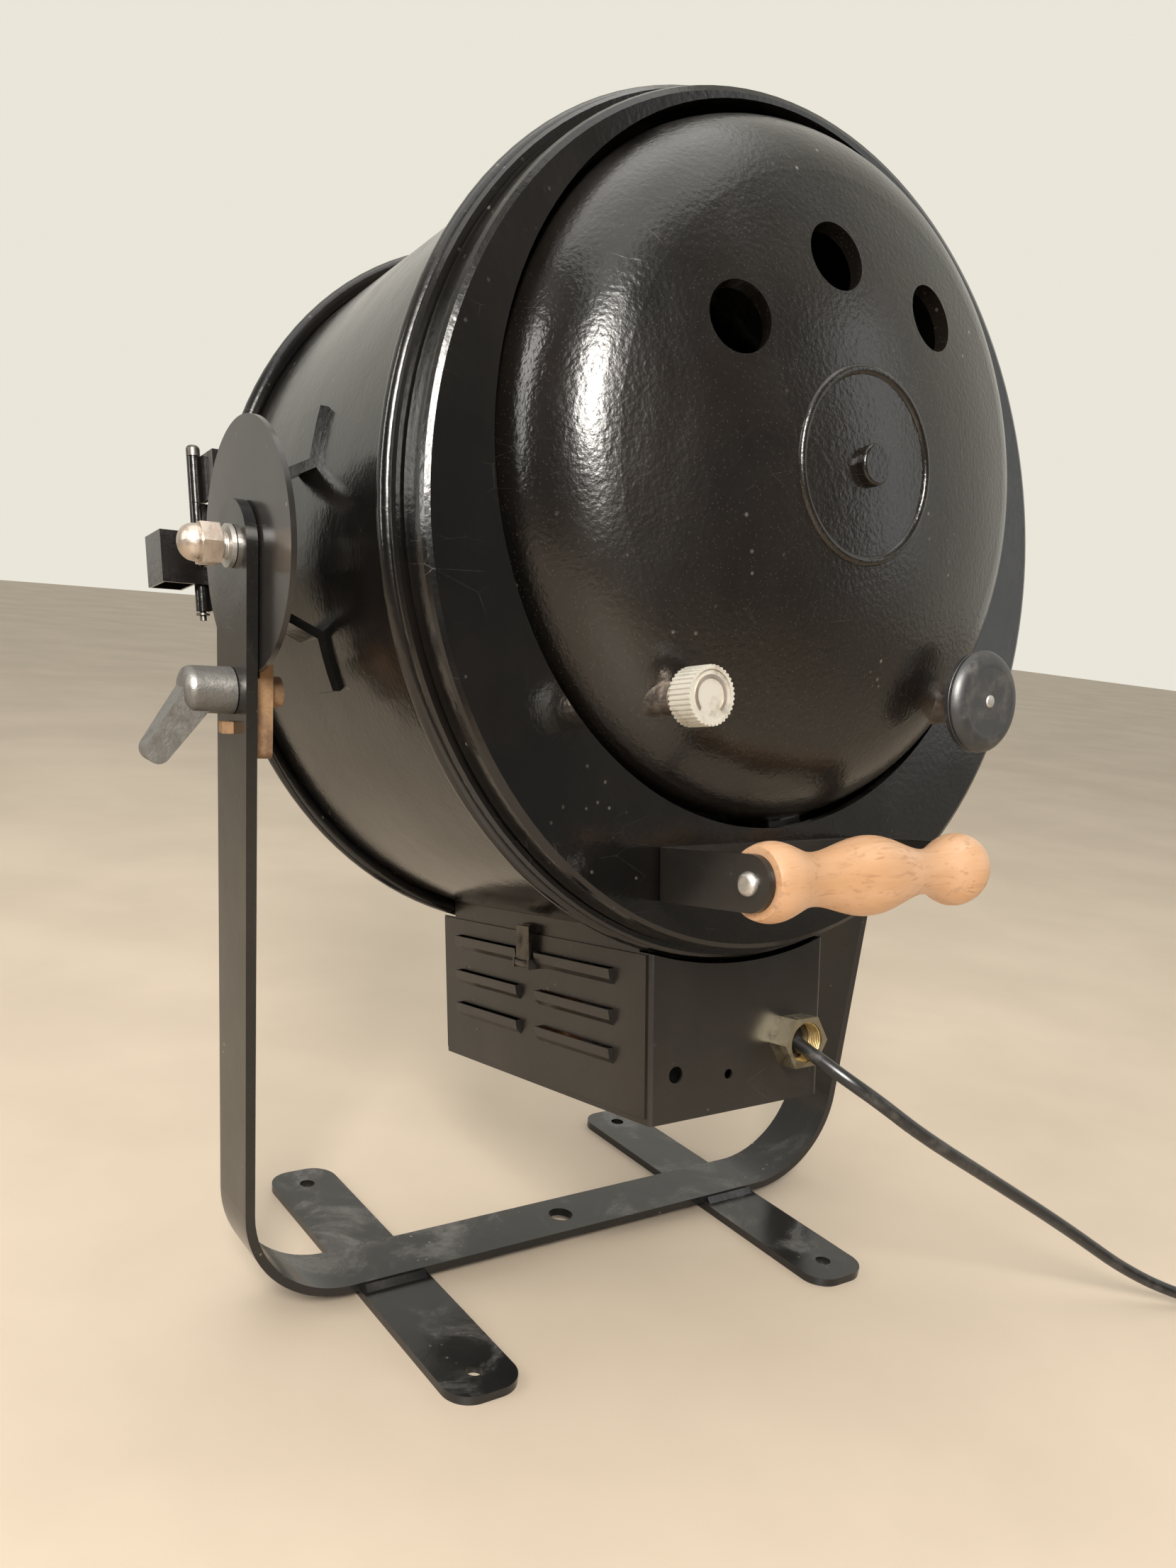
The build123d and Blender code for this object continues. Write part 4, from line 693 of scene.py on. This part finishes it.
def recalculate(thing):
    """Turns a closed mesh's faces outwards."""
    mesh = bmesh.new()
    mesh.from_mesh(thing.data)
    bmesh.ops.recalc_face_normals(mesh, faces=mesh.faces)
    mesh.to_mesh(thing.data)
    mesh.free()


FLOOR_HALF = 12.0
FLOOR_DARK, FLOOR_LIGHT = (0.60, 0.50, 0.39), (0.68, 0.57, 0.45)
WALL_SIDE = (-0.58, -0.81, 0.0)  # the way to the bright wall
WALL_COLOUR = (0.82, 0.79, 0.70)
ROOM_COLOUR = (0.12, 0.115, 0.108)
ROOM_EDGE, WALL_EDGE = -0.55, 0.45  # cosines from the wall's side where the room turns into wall
KEY_PLACE = (1.15, 1.69, 1.73)
KEY_TARGET = (0.05, 0.15, 0.5)
KEY_SIZE = (0.6, 0.9)
LAMPS = (
    # name, place, target, extent, power, colour, seen in reflections only
    ("key", KEY_PLACE, KEY_TARGET, KEY_SIZE, 52.0, (1.0, 0.95, 0.87), False),
    ("glint", KEY_PLACE, KEY_TARGET, KEY_SIZE, 190.0, (1.0, 0.97, 0.92), True),
    ("side", (2.4, -0.4, 1.5), (0.1, 0.0, 0.4), (0.5, 1.8), 24.0, (1.0, 0.97, 0.93), False),
    ("window", (-1.9, 1.6, 1.5), (0, 0.1, 0.45), (0.7, 1.6), 4.0, (0.90, 0.95, 1.0), False),
    ("top", (0.2, 0.0, 2.7), (0, 0, 0.3), (2.2, 2.2), 24.0, (1.0, 0.99, 0.97), False),
)


def lay_floor(scene):
    """A plain pale floor."""
    wiring = Wiring("pale_floor")
    clouds = wiring.ramp(wiring.noise(scale=3, detail=4), low=0.3, high=0.7)
    tone = wiring.mix(clouds, FLOOR_DARK, FLOOR_LIGHT)
    relief = wiring.bump(wiring.noise(scale=120, detail=3), 0.0001)
    finish = wiring.finish(tone, 0.55, normal=relief)
    corners = [(x * FLOOR_HALF, y * FLOOR_HALF, 0) for x, y in ((-1, -1), (1, -1), (1, 1), (-1, 1))]
    mesh = bpy.data.meshes.new("floor")
    mesh.from_pydata(corners, [], [(0, 1, 2, 3)])
    floor = bpy.data.objects.new("floor", mesh)
    scene.collection.objects.link(floor)
    dress(floor, finish)


def light_room(scene):
    """A room that is bright on the wall's side and dim on the other."""
    world = bpy.data.worlds.new("studio")
    world.use_nodes = True
    nodes, link = world.node_tree.nodes, world.node_tree.links.new
    facing = nodes.new("ShaderNodeVectorMath")
    facing.operation = "DOT_PRODUCT"
    link(nodes.new("ShaderNodeTexCoord").outputs["Generated"], facing.inputs[0])
    facing.inputs[1].default_value = WALL_SIDE
    spread = nodes.new("ShaderNodeMapRange")
    spread.interpolation_type = "SMOOTHSTEP"
    link(facing.outputs["Value"], spread.inputs["Value"])
    spread.inputs["From Min"].default_value = ROOM_EDGE
    spread.inputs["From Max"].default_value = WALL_EDGE
    shade = nodes.new("ShaderNodeMix")
    shade.data_type = "RGBA"
    link(spread.outputs["Result"], shade.inputs["Factor"])
    shade.inputs[6].default_value = (*ROOM_COLOUR, 1)
    shade.inputs[7].default_value = (*WALL_COLOUR, 1)
    link(shade.outputs[2], nodes["Background"].inputs["Color"])
    scene.world = world
    scene.view_settings.view_transform = "Standard"


def hang_lamps(scene):
    """The soft lamps of the studio."""
    for name, place, target, extent, power, colour, glossy_only in LAMPS:
        light = bpy.data.lights.new(name, "AREA")
        light.shape = "RECTANGLE"
        light.size, light.size_y = extent
        light.energy = power
        light.color = colour
        lamp = bpy.data.objects.new(name, light)
        lamp.location = place
        lamp.visible_diffuse = not glossy_only
        lamp.rotation_euler = (Vector(target) - Vector(place)).to_track_quat("-Z", "Y").to_euler()
        scene.collection.objects.link(lamp)


def place_camera(scene, settings):
    """The camera, turned about its own line of sight by the roll."""
    back = Vector((
        sin(settings.azimuth) * cos(settings.elevation),
        -cos(settings.azimuth) * cos(settings.elevation),
        sin(settings.elevation),
    ))
    right = Vector((0, 0, 1)).cross(back).normalized()
    upward = back.cross(right)
    rolled_right = right * cos(settings.roll) + upward * sin(settings.roll)
    rolled_up = upward * cos(settings.roll) - right * sin(settings.roll)
    data = bpy.data.cameras.new("camera")
    data.sensor_fit = "AUTO"
    data.sensor_width = 36.0
    data.lens = settings.lens
    data.shift_x, data.shift_y = settings.shift
    data.clip_start = 0.02
    camera = bpy.data.objects.new("camera", data)
    turn = Matrix((rolled_right, rolled_up, back)).transposed().to_4x4()
    camera.matrix_world = Matrix.Translation(settings.place) @ turn
    scene.collection.objects.link(camera)
    scene.camera = camera


class OBJECT_OT_projector_stage(bpy.types.Operator):
    """Builds the floor, the lights and the camera"""

    bl_idname = "object.projector_stage"
    bl_label = "Set the stage"

    def execute(self, context):
        lay_floor(context.scene)
        light_room(context.scene)
        hang_lamps(context.scene)
        place_camera(context.scene, context.scene.projector_stage)
        return {"FINISHED"}


class VIEW3D_PT_projector(bpy.types.Panel):
    """Steps of the projector's looks, in order."""

    bl_label = "Beam projector"
    bl_space_type = "VIEW_3D"
    bl_region_type = "UI"
    bl_category = "Projector"

    def draw(self, context):
        layout = self.layout
        for group in ("projector_finish", "projector_cord", "projector_stage"):
            settings = getattr(context.scene, group)
            box = layout.box()
            for key in settings.__annotations__:
                box.prop(settings, key)
        for step in STEPS:
            layout.operator(step.bl_idname)


STEPS = (
    OBJECT_OT_projector_finishes,
    OBJECT_OT_projector_cord,
    OBJECT_OT_projector_threads,
    OBJECT_OT_projector_trim,
    OBJECT_OT_projector_stage,
)
CLASSES = (ProjectorFinish, ProjectorCord, ProjectorStage, *STEPS, VIEW3D_PT_projector)


def register():
    """Registers the classes and their settings."""
    for entry in CLASSES:
        bpy.utils.register_class(entry)
    bpy.types.Scene.projector_finish = bpy.props.PointerProperty(type=ProjectorFinish)
    bpy.types.Scene.projector_cord = bpy.props.PointerProperty(type=ProjectorCord)
    bpy.types.Scene.projector_stage = bpy.props.PointerProperty(type=ProjectorStage)


def unregister():
    """Removes what register added."""
    for name in ("projector_stage", "projector_cord", "projector_finish"):
        delattr(bpy.types.Scene, name)
    for entry in reversed(CLASSES):
        bpy.utils.unregister_class(entry)


def main():
    """Builds the whole picture in order."""
    register()
    bpy.ops.object.projector_finishes()
    bpy.ops.object.projector_cord()
    bpy.ops.object.projector_threads()
    bpy.ops.object.projector_trim()
    bpy.ops.object.projector_stage()


if __name__ == "__main__":
    main()
